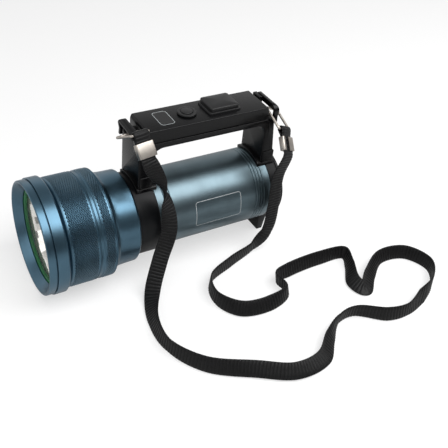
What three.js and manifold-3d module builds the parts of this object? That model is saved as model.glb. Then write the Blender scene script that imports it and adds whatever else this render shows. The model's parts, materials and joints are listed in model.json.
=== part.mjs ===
// Rechargeable flashlight with a top handle and a webbing strap. Millimetres, +Z up.
// The body's axis runs along +X from the lens to the tail. While it is built, x is measured from
// the front of the lip and z from the body's axis; the whole is then set down on its bezel and foot.
import * as THREE from 'three';
import { mergeVertices } from 'three/addons/utils/BufferGeometryUtils.js';
import Module from 'manifold-3d';

const wasm = await Module();
wasm.setup();

// Fits and fineness
const gap = 0.3;
const overrun = 2;
const weldStep = 0.0001;
const roundSides = 40;
const smallSides = 20;
const sealSides = 6;
const wireSides = 8;

// Front bezel
const bezelRadius = 43.6;
const bezelWall = 5.7;
const bezelLength = 15.3;
const bezelRearChamfer = 1.2;
const lipLength = 5.2;
const lipSink = 0.8;
const lipRound = 2.2;
const lipFace = 1.5;
const lipGrooveWidth = 0.9;
const lipGrooveDepth = 1.4;
const flangeInset = 1.4;
const flangeDepth = 6.8;
const lensSealSection = 2.4;
const lensSealInset = 0.7;
const lensThickness = 2.4;

// Head housing
const spigotWall = 1.5;
const headInset = 2.2;
const headFrontStep = 1.5;
const headFrontChamfer = 1.8;
const bandOneLength = 20.9;
const bandGrooveWidth = 3.4;
const bandGrooveDepth = 0.8;
const bandTwoLength = 9.3;
const headRearChamfer = 2.4;
const headRearStep = 3.4;
const neckLength = 19.2;
const neckSwell = 1.1;
const neckRearStep = 5.8;
const neckRound = 1.6;

// Light source
const mirrorBrim = 1.5;
const mirrorWall = 1.3;
const mirrorRim = 2;
const mirrorDepth = 27;
const mirrorHole = 5.6;
const mirrorRows = 7;
const mirrorSides = 32;
const emitterSide = 7;
const emitterBase = 0.7;
const emitterDome = 2.5;
const ledBoardRadius = 11;
const ledBoardThickness = 2;
const sinkInset = 1.6;
const sinkThickness = 5.4;
const sinkBossRadius = 20;
const sinkBossLength = 4;
const headCavityStep = 0.5;

// Body tube
const tubeRadius = 30;
const tubeWall = 3;
const tubeInsertion = 14;
const tubeVisible = 98.4;
const ringGrooveDepth = 0.7;
const ringGroovePitch = 2.57;
const frontGrooves = 3;
const frontGrooveSetback = 6.4;
const rearGrooves = 4;
const rearGrooveSetback = 6.4;
const spigotStep = 1.7;
const headSealSection = 1.2;
const headSealSetback = 4;

// Collars, foot and tail cap
const frontCollarLength = 17.3;
const frontCollarWall = 1.95;
const rearCollarLength = 8.5;
const footWidth = 34;
const footToeWidth = 26;
const footToeLength = 5.5;
const capFlange = 2.5;
const capPlugLength = 8;
const capSlotDepth = 1.6;
const capBarWidth = 9;
const tailSealSection = 1.4;

// Battery and driver
const carrierPlay = 0.985;
const cellLength = 70;
const cellButton = 3.2;
const cellButtonHeight = 0.9;
const cellShoulder = 0.8;
const carrierDisc = 2;
const carrierCore = 5;
const springWire = 1.2;
const springTurns = 4;
const springSmall = 4;
const springLarge = 8;
const springFrontSpace = 11;
const springRearSpace = 11;
const canWall = 1.2;
const driverBoardThickness = 1.6;
const coilRadius = 8;
const coilHeight = 9;

// Handle
const handleWidth = 29.2;
const gripUnderside = 63.3;
const gripShell = 4.7;
const coverHeight = 10.6;
const gripCorner = 6;
const edgeBevel = 1.7;
const frontLegFace = 77.5;
const legThickness = 12;
const rearLegSetback = 1.4;
const coverSetback = 5.7;
const rearLegFlare = 4.5;
const coverFrontSlope = 1.2;
const coverFrontDrop = 2.6;
const coverRearSlope = 1.4;
const coverRearDrop = 3;
const coverWall = 2.5;
const saddleThickness = 2.4;
const saddleOverhang = 1;
const saddleInboard = 3;
const bossWidth = 10.5;
const bossHeight = 9.5;
const bossProud = 0.9;

// Gauge window, button, charge port
const windowFront = 97.3;
const windowLength = 11.3;
const windowWidth = 18.4;
const windowThickness = 1.2;
const windowCorner = 2.5;
const buttonCentre = 122;
const buttonRadius = 4.4;
const buttonRingRadius = 7.3;
const buttonRingHeight = 1.5;
const buttonHeight = 2.4;
const buttonTravel = 1.2;
const buttonFlange = 0.9;
const buttonFlangeThickness = 1;
const switchSide = 6;
const switchHeight = 2.4;
const portFront = 136.6;
const portLength = 26.9;
const portWidth = 18;
const portBase = 1.1;
const portCorner = 2;
const flapInset = 1.6;
const flapThickness = 2.6;
const flapCorner = 1.5;
const socketLength = 9.2;
const socketWidth = 3.4;
const socketDepth = 7;
const socketSlotLength = 8.4;
const socketSlotWidth = 2.6;
const boardThickness = 1.6;
const boardFrontSpace = 7.4;
const boardRearSpace = 9.6;
const boardSideGap = 0.9;

// Ears: a lip held off the end of the cover by two cheeks
const earLipWidth = 4.4;
const earLipThickness = 4.4;
const earLipRound = 3;
const earShoulder = 6.2;
const earEdge = 1;
const earTopDrop = 0.4;
const earCheek = 2.4;
const earOpening = 5;
const earDepth = 14;

// Rings: a wire oblong through each ear, turned, rolled and dropped by these degrees
const ringWire = 2;
const ringWidth = 14.8;
const ringLength = 20.5;
const ringCorner = 1.6;
const frontRingTurn = 10;
const frontRingRoll = 0;
const frontRingDrop = -30.8;
const frontWebLean = 36;
const frontRingReach = 10.7;
const frontRingSide = 2.2;
const rearRingTurn = 14;
const rearRingRoll = 26;
const rearRingDrop = 26;
const rearWebLean = 40;
const rearRingReach = 8.8;
const rearRingSide = 5;
const rearRingFall = 2;

// Webbing, doubled back through each ring and held by a folded metal crimp
const webWidth = 12;
const webThickness = 1.3;
const loopDrop = 8;
const crimpLength = 10.7;
const crimpWall = 0.8;
const webTail = 2.5;
const strapSteps = 76;

// Radii that follow the bezel's and the tube's
const bezelBore = bezelRadius - bezelWall;
const lensRadius = bezelBore - gap;
const flangeRadius = lensRadius - flangeInset;
const spigotRadius = bezelBore - gap;
const mirrorBore = spigotRadius - spigotWall;
const mirrorRadius = mirrorBore - mirrorBrim;
const sinkRadius = mirrorBore - sinkInset;
const headRadius = bezelRadius - headInset;
const neckRearRadius = tubeRadius + neckRearStep;
const tubeBore = tubeRadius - tubeWall;
const headCavityRadius = tubeBore + headCavityStep;

// Four cells, a gap apart, fill the bore but for the carrier's play
const cellRadius = (tubeBore - carrierPlay - gap * Math.SQRT2) / (1 + Math.SQRT2);

// Places along the axis, from the lip
const lensFront = flangeDepth + gap + lensSealSection + gap;
const mirrorFront = lensFront + lensThickness + gap;
const headFront = bezelLength + gap;
const bandOneEnd = headFront + headFrontChamfer + bandOneLength;
const bandTwoStart = bandOneEnd + bandGrooveWidth;
const bandTwoEnd = bandTwoStart + bandTwoLength;
const neckFront = bandTwoEnd + headRearChamfer;
const headRear = neckFront + neckLength;
const mirrorRear = mirrorFront + mirrorDepth;
const ledBoardFront = mirrorRear + mirrorWall + gap;
const sinkFront = ledBoardFront + ledBoardThickness + gap;
const sinkRear = sinkFront + sinkThickness;
const tubeFront = headRear - tubeInsertion;
const frontCollarFront = headRear + gap;
const frontCollarRear = frontCollarFront + frontCollarLength;
const frontCollarRadius = tubeRadius + gap + frontCollarWall;
const tubeShoulder = frontCollarRear + tubeVisible;
const rearCollarFront = tubeShoulder + gap;
const rearCollarRear = rearCollarFront + rearCollarLength;
const capFlangeFront = rearCollarRear + gap;
const tubeRear = capFlangeFront - gap - tailSealSection - gap;
const capFlangeRear = capFlangeFront + capFlange;
const capPlugFront = capFlangeFront - capPlugLength;
const rearSpigotRadius = tubeRadius - spigotStep;
const canFront = tubeFront + gap + canWall;
const carrierRear = capPlugFront - springRearSpace;
const cellRear = carrierRear - carrierDisc - gap;
const cellFront = cellRear - cellLength;
const carrierFront = cellFront - gap - carrierDisc;
const canRear = carrierFront - springFrontSpace;
const cellOffset = cellRadius + gap;
const axisHeight = bezelRadius * Math.cos(Math.PI / roundSides);

// Places of the handle
const handleHalf = handleWidth / 2;
const handleParting = gripUnderside + gripShell;
const handleTop = handleParting + coverHeight;
const gripFront = frontLegFace + legThickness;
const rearLegFace = rearCollarRear - rearLegSetback;
const gripRear = rearLegFace - legThickness;
const coverFront = frontLegFace + coverSetback;
const rearLegTop = rearLegFace - rearLegFlare;
const coverRear = rearLegTop - coverSetback;
const coverUnderside = handleParting + gap;
const pocketFront = coverFront + coverFrontSlope + coverWall;
const pocketRear = coverRear - coverRearSlope - coverWall;
const pocketTop = handleTop - coverWall;
const pocketHalf = handleHalf - coverWall;
const portCentre = portFront + portLength / 2;
const flapFront = portFront + flapInset;
const flapBottom = handleTop + gap + portBase + gap;
const flapLength = portLength - 2 * flapInset;
const flapHinge = flapBottom + flapThickness / 2;

// Materials
const paint = (color, roughness, metalness) =>
  new THREE.MeshStandardMaterial({ color, roughness, metalness });
const anodised = paint(0x3f6273, 0.35, 0.9);
const blackPlastic = paint(0x17181a, 0.45, 0);
const blackRubber = paint(0x1c1c1d, 0.8, 0);
const darkMetal = paint(0x202124, 0.4, 0.7);
const clearGlass = paint(0xdfe8ea, 0.05, 0);
const mirror = paint(0xe8e2da, 0.08, 1);
const sealGreen = paint(0x0f4a24, 0.5, 0);
const bareMetal = paint(0xb9bdc0, 0.35, 0.9);
const warmSteel = paint(0xd2c8bc, 0.25, 1);
const boardGreen = paint(0x1d5a35, 0.5, 0);
const boardWhite = paint(0xe6e6e0, 0.5, 0);
const emitterYellow = paint(0xe8c23a, 0.4, 0);
const cellWrap = paint(0x3a6f8c, 0.5, 0);
const carrierGrey = paint(0x46484a, 0.6, 0);
const smokedWindow = paint(0x232426, 0.3, 0);
const webbing = paint(0x101011, 0.9, 0);

// A closed geometry becomes a solid, turned the right way out.
function solidOf(geometry) {
  const bare = new THREE.BufferGeometry();
  bare.setAttribute('position', geometry.getAttribute('position').clone());
  if (geometry.index) bare.setIndex(geometry.index.clone());
  const welded = mergeVertices(bare, weldStep);
  const points = welded.getAttribute('position');
  const ends = welded.index.array;
  const faces = [];
  let volume = 0;
  const corner = [new THREE.Vector3(), new THREE.Vector3(), new THREE.Vector3()];
  for (let i = 0; i < ends.length; i += 3) {
    const face = [ends[i], ends[i + 1], ends[i + 2]];
    if (face[0] === face[1] || face[1] === face[2] || face[2] === face[0]) continue;
    face.forEach((end, k) => corner[k].fromBufferAttribute(points, end));
    volume += corner[0].dot(corner[1].cross(corner[2]));
    faces.push(face);
  }
  if (volume < 0) faces.forEach((face) => face.reverse());
  return new wasm.Manifold(new wasm.Mesh({
    numProp: 3,
    vertProperties: new Float32Array(points.array),
    triVerts: new Uint32Array(faces.flat()),
  }));
}

function geometryOf(solid) {
  const mesh = solid.getMesh();
  const geometry = new THREE.BufferGeometry();
  const points = new Float32Array(mesh.vertProperties);
  geometry.setAttribute('position', new THREE.BufferAttribute(points, mesh.numProp));
  geometry.setIndex(new THREE.BufferAttribute(new Uint32Array(mesh.triVerts), 1));
  return geometry;
}

// A profile of [x, radius] points turned about the X axis. A flat side lies at the bottom.
function turned(profile, sides = roundSides) {
  const points = profile.map(([x, r]) => new THREE.Vector2(r, x));
  const onAxis = profile[0][1] === 0 && profile[profile.length - 1][1] === 0;
  if (!onAxis) points.push(points[0].clone());
  const lathe = new THREE.LatheGeometry(points, sides, Math.PI / sides);
  return solidOf(lathe.rotateZ(-Math.PI / 2));
}

function bored(rear, front, outer, inner, sides = roundSides) {
  return turned([[front, inner], [front, outer], [rear, outer], [rear, inner]], sides);
}

function bar(front, rear, radius, sides = smallSides) {
  return turned([[front, 0], [front, radius], [rear, radius], [rear, 0]], sides);
}

function block(x0, x1, y0, y1, z0, z1) {
  const box = new THREE.BoxGeometry(x1 - x0, y1 - y0, z1 - z0);
  return solidOf(box.translate((x0 + x1) / 2, (y0 + y1) / 2, (z0 + z1) / 2));
}

// An upright cylinder about a vertical line.
function post(x, y, z0, z1, radius, sides = smallSides) {
  const cylinder = new THREE.CylinderGeometry(radius, radius, z1 - z0, sides);
  return solidOf(cylinder.rotateX(Math.PI / 2).translate(x, y, (z0 + z1) / 2));
}

function roundedOutline(x0, x1, y0, y1, radius) {
  const shape = new THREE.Shape();
  shape.moveTo(x0 + radius, y0);
  shape.lineTo(x1 - radius, y0);
  shape.absarc(x1 - radius, y0 + radius, radius, -Math.PI / 2, 0);
  shape.lineTo(x1, y1 - radius);
  shape.absarc(x1 - radius, y1 - radius, radius, 0, Math.PI / 2);
  shape.lineTo(x0 + radius, y1);
  shape.absarc(x0 + radius, y1 - radius, radius, Math.PI / 2, Math.PI);
  shape.lineTo(x0, y0 + radius);
  shape.absarc(x0 + radius, y0 + radius, radius, Math.PI, Math.PI * 1.5);
  return shape;
}

// A plate with round corners, lying flat from z0 to z1.
function plate(x0, x1, y0, y1, z0, z1, radius, steps = 3) {
  const outline = roundedOutline(x0, x1, y0, y1, radius);
  const options = { depth: z1 - z0, bevelEnabled: false, curveSegments: steps };
  return solidOf(new THREE.ExtrudeGeometry(outline, options).translate(0, 0, z0));
}

// A side view in x and z, made half a width thick to each side, with its long edges bevelled.
function sideways(shape, half, bevel, steps = 4) {
  const options = {
    depth: 2 * (half - bevel),
    bevelEnabled: bevel > 0,
    bevelThickness: bevel,
    bevelSize: bevel,
    bevelOffset: -bevel,
    bevelSegments: 1,
    curveSegments: steps,
  };
  const slab = new THREE.ExtrudeGeometry(shape, options).translate(0, 0, bevel - half);
  return solidOf(slab.rotateX(Math.PI / 2));
}

// A section of [across, along normal] points carried along stations of {at, side, normal}.
function swept(stations, section, closed = false) {
  const count = stations.length;
  const ring = section.length;
  const points = [];
  for (const { at, side, normal } of stations) {
    for (const [a, b] of section) {
      const point = at.clone().addScaledVector(side, a).addScaledVector(normal, b);
      points.push(point.x, point.y, point.z);
    }
  }
  const faces = [];
  const spans = closed ? count : count - 1;
  for (let i = 0; i < spans; i += 1) {
    const here = i * ring;
    const next = ((i + 1) % count) * ring;
    for (let k = 0; k < ring; k += 1) {
      const l = (k + 1) % ring;
      faces.push(here + k, here + l, next + l, here + k, next + l, next + k);
    }
  }
  if (!closed) {
    const last = (count - 1) * ring;
    for (let k = 1; k < ring - 1; k += 1) {
      faces.push(0, k + 1, k, last, last + k, last + k + 1);
    }
  }
  const geometry = new THREE.BufferGeometry();
  geometry.setAttribute('position', new THREE.BufferAttribute(new Float32Array(points), 3));
  geometry.setIndex(faces);
  return solidOf(geometry);
}

function roundSection(radius, sides) {
  return Array.from({ length: sides }, (_, k) => {
    const turn = (2 * Math.PI * k) / sides;
    return [radius * Math.cos(turn), radius * Math.sin(turn)];
  });
}

// A seal ring of round section about the X axis.
function sealRing(x, radius, section) {
  const half = section / 2;
  const profile = roundSection(half, sealSides).map(([a, b]) => [x + a, radius + b]);
  return turned(profile, roundSides);
}

// A conical wire spring about the X axis, ground flat by ending in a closed turn.
function spring(x0, x1, radius0, radius1) {
  const steps = springTurns * 8;
  const half = springWire / 2;
  const stations = [];
  for (let i = 0; i <= steps; i += 1) {
    const share = i / steps;
    const turn = 2 * Math.PI * springTurns * share;
    const radius = radius0 + (radius1 - radius0) * share;
    const out = new THREE.Vector3(0, Math.cos(turn), Math.sin(turn));
    const x = x0 + half + (x1 - x0 - springWire) * share;
    stations.push({
      at: out.clone().multiplyScalar(radius).setX(x),
      side: out,
      normal: new THREE.Vector3(1, 0, 0),
    });
  }
  return swept(stations, roundSection(half, 6));
}

const flashlight = new THREE.Group();
const standing = new THREE.Group();
flashlight.add(standing);

function add(name, solid, material, parent = standing) {
  const mesh = new THREE.Mesh(geometryOf(solid), material);
  mesh.name = name;
  parent.add(mesh);
}

// Front bezel: the lip, a fine groove, the smooth band, and a cone down to the glass
function frontBezel() {
  const lip = bezelRadius - lipSink;
  const mouth = lip - lipRound - lipFace;
  return turned([
    [0, mouth],
    [0, lip - lipRound],
    [lipRound / 3, lip - lipRound / 3],
    [lipRound, lip],
    [lipLength, lip],
    [lipLength + lipGrooveWidth / 3, lip - lipGrooveDepth],
    [lipLength + lipGrooveWidth, bezelRadius],
    [bezelLength - bezelRearChamfer, bezelRadius],
    [bezelLength, bezelRadius - bezelRearChamfer],
    [bezelLength, bezelBore],
    [flangeDepth + gap, bezelBore],
    [flangeDepth, flangeRadius],
  ]);
}

// Head housing: two knurled bands, a chamfered step and a tapering neck
function headHousing() {
  const neckTop = headRadius - headRearStep;
  const neckProfile = [];
  const steps = 5;
  for (let i = 0; i <= steps; i += 1) {
    const share = i / steps;
    const x = neckFront + (neckLength - neckRound) * share;
    const straight = neckTop + (neckRearRadius - neckTop) * share;
    neckProfile.push([x, straight - neckSwell * Math.sin(Math.PI * Math.sqrt(share))]);
  }
  return turned([
    [mirrorFront, mirrorBore],
    [mirrorFront, spigotRadius],
    [headFront, spigotRadius],
    [headFront, headRadius - headFrontStep],
    [headFront + headFrontChamfer, headRadius],
    [bandOneEnd, headRadius],
    [bandOneEnd + bandGrooveDepth, headRadius - bandGrooveDepth],
    [bandTwoStart - bandGrooveDepth, headRadius - bandGrooveDepth],
    [bandTwoStart, headRadius],
    [bandTwoEnd, headRadius],
    ...neckProfile,
    [headRear, neckRearRadius - neckRound],
    [headRear, tubeRadius + gap],
    [tubeFront - gap, tubeRadius + gap],
    [tubeFront - gap, headCavityRadius],
    [sinkRear + gap, headCavityRadius],
    [sinkRear + gap, sinkRadius + gap],
    [ledBoardFront, sinkRadius + gap],
    [ledBoardFront, mirrorBore],
  ]);
}

// Reflector: a polished bowl of flat facets
function reflector() {
  const inside = [];
  const focusShare = (mirrorRadius ** 2 - mirrorHole ** 2) / mirrorDepth;
  for (let i = 0; i <= mirrorRows; i += 1) {
    const x = mirrorFront + mirrorDepth * (i / mirrorRows) ** 1.5;
    const r = Math.sqrt(Math.max(mirrorHole ** 2 + focusShare * (mirrorRear - x), 0));
    inside.push([x, r]);
  }
  const backRows = inside.filter((_, i) => i % 2 === 1);
  const outside = backRows.map(([x, r]) => [x + mirrorWall, r + mirrorWall / 2]).reverse();
  return turned([
    ...inside,
    ...outside,
    [mirrorFront + mirrorRim, mirrorRadius],
    [mirrorFront + mirrorRim, mirrorBore - gap],
    [mirrorFront, mirrorBore - gap],
  ], mirrorSides);
}

function ledEmitter() {
  const half = emitterSide / 2;
  const back = ledBoardFront - gap;
  const front = back - emitterBase;
  const base = block(front, back, -half, half, -half, half);
  const dome = turned([
    [front - emitterDome, 0],
    [front - emitterDome * 0.7, emitterDome * 0.7],
    [front, emitterDome],
    [back - emitterBase / 2, emitterDome],
    [back - emitterBase / 2, 0],
  ], smallSides);
  return base.add(dome);
}

function heatSink() {
  return turned([
    [sinkFront, 0],
    [sinkFront, sinkRadius],
    [sinkRear, sinkRadius],
    [sinkRear, sinkBossRadius],
    [sinkRear + sinkBossLength, sinkBossRadius],
    [sinkRear + sinkBossLength, 0],
  ]);
}

// Small V grooves turned into the tube, as [x, radius] points
function tubeGrooves(start, count) {
  const half = ringGrooveDepth / 2;
  const grooves = [];
  for (let i = 0; i < count; i += 1) {
    const x = start + ringGroovePitch * i;
    grooves.push([x - half, tubeRadius]);
    grooves.push([x, tubeRadius - ringGrooveDepth]);
    grooves.push([x + half, tubeRadius]);
  }
  return grooves;
}

function bodyTube() {
  const sealAt = tubeFront + headSealSetback;
  const sealHalf = headSealSection / 2 + gap;
  const sealFloor = tubeRadius - headSealSection;
  const lastRear = tubeShoulder - rearGrooveSetback;
  return turned([
    [tubeFront, tubeBore],
    [tubeFront, tubeRadius],
    [sealAt - sealHalf, tubeRadius],
    [sealAt - sealHalf, sealFloor],
    [sealAt + sealHalf, sealFloor],
    [sealAt + sealHalf, tubeRadius],
    ...tubeGrooves(frontCollarRear + frontGrooveSetback, frontGrooves),
    ...tubeGrooves(lastRear - ringGroovePitch * (rearGrooves - 1), rearGrooves),
    [tubeShoulder, tubeRadius],
    [tubeShoulder, rearSpigotRadius],
    [tubeRear, rearSpigotRadius],
    [tubeRear, tubeBore],
  ]);
}

// Rear collar: a ring with a foot that reaches the ground
function rearCollar() {
  const ring = bored(rearCollarRear, rearCollarFront, tubeRadius, rearSpigotRadius + gap);
  const lug = new THREE.Shape();
  lug.moveTo(-footWidth / 2, -tubeRadius * 0.8);
  lug.lineTo(-footToeWidth / 2, -axisHeight);
  lug.lineTo(footToeWidth / 2, -axisHeight);
  lug.lineTo(footWidth / 2, -tubeRadius * 0.8);
  const options = { depth: rearCollarLength, bevelEnabled: false };
  const upright = new THREE.ExtrudeGeometry(lug, options);
  upright.rotateX(Math.PI / 2).rotateZ(Math.PI / 2).translate(rearCollarFront, 0, 0);
  const side = new THREE.Shape();
  side.moveTo(rearCollarFront, 0);
  side.lineTo(rearCollarFront, -tubeRadius);
  side.lineTo(rearCollarRear - footToeLength, -axisHeight);
  side.lineTo(rearCollarRear, -axisHeight);
  side.lineTo(rearCollarRear, 0);
  const taper = sideways(side, footWidth, 0);
  const bore = bar(rearCollarFront - overrun, rearCollarRear + overrun, tubeRadius - gap, roundSides);
  return ring.add(solidOf(upright).intersect(taper).subtract(bore));
}

function tailCap() {
  const body = turned([
    [capPlugFront, 0],
    [capPlugFront, tubeBore - gap],
    [capFlangeFront, tubeBore - gap],
    [capFlangeFront, tubeRadius],
    [capFlangeRear - gap, tubeRadius],
    [capFlangeRear, tubeRadius - gap],
    [capFlangeRear, 0],
  ]);
  const reach = tubeRadius * 0.6;
  const half = capBarWidth / 2;
  const floor = capFlangeRear - capSlotDepth;
  return body.subtract(block(floor, capFlangeRear + overrun, -reach, reach, -half, half));
}

// One cell with its raised contact facing the head, lying along X
function cell() {
  const nose = cellFront + cellButtonHeight;
  return turned([
    [cellFront, 0],
    [cellFront, cellButton],
    [nose, cellButton],
    [nose, cellRadius - cellShoulder],
    [nose + cellShoulder, cellRadius],
    [cellRear, cellRadius],
    [cellRear, 0],
  ], smallSides);
}

function batteryCarrier() {
  const front = bar(carrierFront, cellFront - gap, tubeBore - gap, roundSides);
  const rear = bar(cellRear + gap, carrierRear, tubeBore - gap, roundSides);
  const core = block(carrierFront, carrierRear, -carrierCore / 2, carrierCore / 2,
    -carrierCore / 2, carrierCore / 2);
  return front.add(rear).add(core);
}

// Driver: a can with an open front, and its board with a choke
function driverCan() {
  return turned([
    [canFront - canWall, tubeBore - gap],
    [canRear, tubeBore - gap],
    [canRear, 0],
    [canRear - canWall, 0],
    [canRear - canWall, tubeBore - gap - canWall],
    [canFront - canWall, tubeBore - gap - canWall],
  ].reverse());
}

function driverBoard() {
  const radius = tubeBore - gap - canWall - gap;
  const board = bar(canFront, canFront + driverBoardThickness, radius, roundSides);
  const choke = bar(canFront + driverBoardThickness / 2,
    canFront + driverBoardThickness + coilHeight, coilRadius);
  return board.add(choke);
}

// Handle base: two legs joined by the underside of the grip
function handleBase() {
  const outline = new THREE.Shape();
  const foot = frontCollarRadius * 0.6;
  outline.moveTo(frontLegFace, foot);
  outline.lineTo(gripFront, foot);
  outline.lineTo(gripFront, gripUnderside - gripCorner);
  outline.absarc(gripFront + gripCorner, gripUnderside - gripCorner, gripCorner,
    Math.PI, Math.PI / 2, true);
  outline.lineTo(gripRear - gripCorner, gripUnderside);
  outline.absarc(gripRear - gripCorner, gripUnderside - gripCorner, gripCorner,
    Math.PI / 2, 0, true);
  outline.lineTo(gripRear, foot);
  outline.lineTo(rearLegFace, foot);
  outline.lineTo(rearLegTop, handleParting);
  outline.lineTo(frontLegFace, handleParting);
  const body = sideways(outline, handleHalf, 0);
  const seatRadius = saddleThickness + gap;
  const frontSeat = bar(frontLegFace - overrun, gripFront + overrun,
    frontCollarRadius + gap + seatRadius, roundSides);
  const rearSeat = bar(gripRear - overrun, rearLegFace + overrun,
    tubeRadius + gap + seatRadius, roundSides);
  const trough = block(pocketFront, pocketRear, -pocketHalf, pocketHalf,
    handleParting - coverWall, handleParting + overrun);
  let base = body.subtract(trough);
  for (const x of [frontLegFace + legThickness / 2, gripRear + legThickness / 2]) {
    const seat = (x < gripFront ? frontCollarRadius : tubeRadius) + gap + seatRadius;
    const bossFoot = Math.sqrt(seat ** 2 - (handleHalf + bossProud) ** 2);
    for (const side of [-1, 1]) {
      const y0 = side * (handleHalf - edgeBevel);
      const y1 = side * (handleHalf + bossProud);
      base = base.add(block(x - bossWidth / 2, x + bossWidth / 2,
        Math.min(y0, y1), Math.max(y0, y1), bossFoot, bossFoot + bossHeight));
    }
  }
  return base.subtract(frontSeat).subtract(rearSeat);
}

// Handle cover: the bevelled top, open below, with places for the gauge, button and port
function handleCover() {
  const outline = new THREE.Shape();
  outline.moveTo(coverFront, coverUnderside);
  outline.lineTo(coverRear, coverUnderside);
  outline.lineTo(coverRear, handleTop - coverRearDrop);
  outline.lineTo(coverRear - coverRearSlope, handleTop);
  outline.lineTo(coverFront + coverFrontSlope, handleTop);
  outline.lineTo(coverFront, handleTop - coverFrontDrop);
  const body = sideways(outline, handleHalf, edgeBevel);
  const pocket = block(pocketFront, pocketRear, -pocketHalf, pocketHalf,
    coverUnderside - overrun, pocketTop);
  const windowSeat = plate(windowFront - gap, windowFront + windowLength + gap,
    -windowWidth / 2 - gap, windowWidth / 2 + gap,
    handleTop - windowThickness - gap, handleTop + overrun, windowCorner + gap);
  const buttonHole = post(buttonCentre, 0, pocketTop - overrun, handleTop + overrun,
    buttonRadius + gap);
  const socketHole = plate(portCentre - socketLength / 2 - gap, portCentre + socketLength / 2 + gap,
    -socketWidth / 2 - gap, socketWidth / 2 + gap, pocketTop - overrun, handleTop + overrun,
    socketWidth / 2);
  return body.subtract(pocket).subtract(windowSeat).subtract(buttonHole).subtract(socketHole);
}

// Saddle: a curved plate between a leg and the round body below it
function saddle(front, rear, seat) {
  const inner = seat + gap;
  const half = handleHalf + saddleOverhang;
  const shell = bored(rear, front, inner + saddleThickness, inner);
  return shell.intersect(block(front - overrun, rear + overrun, -half, half, 0, seat * 2));
}

// The rubber button and the ring round it
function buttonRing() {
  const outer = post(buttonCentre, 0, handleTop + gap, handleTop + gap + buttonRingHeight,
    buttonRingRadius, roundSides);
  const hole = post(buttonCentre, 0, handleTop, handleTop + overrun + buttonRingHeight,
    buttonRadius + gap);
  return outer.subtract(hole);
}

function powerButton() {
  const top = handleTop + buttonHeight;
  const stem = post(buttonCentre, 0, pocketTop - gap, top, buttonRadius);
  const flange = post(buttonCentre, 0, pocketTop - gap - buttonFlangeThickness, pocketTop - gap,
    buttonRadius + gap + buttonFlange);
  return stem.add(flange);
}

// The board under the cover, the switch and the charge socket
const buttonFoot = pocketTop - gap - buttonFlangeThickness;
const switchTop = buttonFoot - buttonTravel - gap;
const boardTop = switchTop - switchHeight - gap;
const boardFront = pocketFront + boardFrontSpace;
const boardRear = pocketRear - boardRearSpace;

function controlBoard() {
  return block(boardFront, boardRear, -pocketHalf + boardSideGap,
    pocketHalf - boardSideGap, boardTop - boardThickness, boardTop);
}

function pushSwitch() {
  const half = switchSide / 2;
  return block(buttonCentre - half, buttonCentre + half, -half, half, boardTop + gap, switchTop);
}

function chargeSocket() {
  const shell = plate(portCentre - socketLength / 2, portCentre + socketLength / 2,
    -socketWidth / 2, socketWidth / 2, boardTop + gap, handleTop, socketWidth / 2 - gap);
  const slot = plate(portCentre - socketSlotLength / 2, portCentre + socketSlotLength / 2,
    -socketSlotWidth / 2, socketSlotWidth / 2, handleTop - socketDepth + gap, handleTop + overrun,
    socketSlotWidth / 2 - gap / 2);
  return shell.subtract(slot);
}

function portFrame() {
  const base = plate(portFront, portFront + portLength, -portWidth / 2, portWidth / 2,
    handleTop + gap, handleTop + gap + portBase, portCorner);
  const hole = plate(portCentre - socketLength / 2 - gap, portCentre + socketLength / 2 + gap,
    -socketWidth / 2 - gap, socketWidth / 2 + gap, handleTop, handleTop + overrun + portBase,
    socketWidth / 2);
  return base.subtract(hole);
}

function portFlap() {
  const half = portWidth / 2 - flapInset;
  const pad = plate(flapFront, flapFront + flapLength, -half, half, flapBottom,
    flapBottom + flapThickness, flapCorner);
  const notch = post(flapFront + flapLength, half, flapBottom - overrun,
    flapBottom + flapThickness + overrun, portCorner + flapInset);
  return pad.subtract(notch);
}

// Ears: a lip across the end of the handle on two cheeks, with an opening behind the lip
function ear(coverEnd, ledgeEnd, outward) {
  const at = (reach) => coverEnd + outward * reach;
  const top = handleTop - earTopDrop;
  const inner = earOpening;
  const outer = earOpening + earLipWidth;
  const crown = [];
  for (let i = 0; i <= 4; i += 1) {
    const angle = (Math.PI / 2) * (i / 4);
    const fall = earLipRound * (1 - Math.cos(angle));
    crown.push(new THREE.Vector2(at(outer - earLipRound * (1 - Math.sin(angle))), top - fall));
  }
  const lip = new THREE.Shape([
    new THREE.Vector2(at(inner), top),
    ...crown,
    new THREE.Vector2(at(outer), top - earLipThickness + earEdge / 2),
    new THREE.Vector2(at(outer - earEdge), top - earLipThickness),
    new THREE.Vector2(at(inner), top - earLipThickness),
  ]);
  const ledge = Math.abs(ledgeEnd - coverEnd) + 2 * gap;
  const cheek = new THREE.Shape([
    new THREE.Vector2(at(inner), top),
    ...crown,
    new THREE.Vector2(at(outer), top - earLipThickness),
    new THREE.Vector2(at(outer - earEdge), top - earDepth + earLipWidth),
    new THREE.Vector2(at(ledge + earCheek), top - earDepth),
    new THREE.Vector2(at(ledge), top - earDepth),
    new THREE.Vector2(at(ledge), coverUnderside),
    new THREE.Vector2(at(inner), coverUnderside),
  ]);
  const half = handleHalf;
  const wall = sideways(cheek, earCheek / 2, 0);
  const square = sideways(lip, half, 0)
    .add(wall.translate([0, half - earCheek / 2, 0]))
    .add(wall.translate([0, earCheek / 2 - half, 0]));
  const arch = new THREE.Shape();
  arch.moveTo(-half - gap, top - earDepth - gap);
  arch.lineTo(half + gap, top - earDepth - gap);
  arch.lineTo(half, top - earShoulder);
  arch.absarc(half - earShoulder, top - earShoulder, earShoulder, 0, Math.PI / 2);
  arch.lineTo(earShoulder - half, top);
  arch.absarc(earShoulder - half, top - earShoulder, earShoulder, Math.PI / 2, Math.PI);
  return square.intersect(crossways(arch, earLipWidth + earOpening, 5).translate([at(inner), 0, 0]));
}

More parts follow.
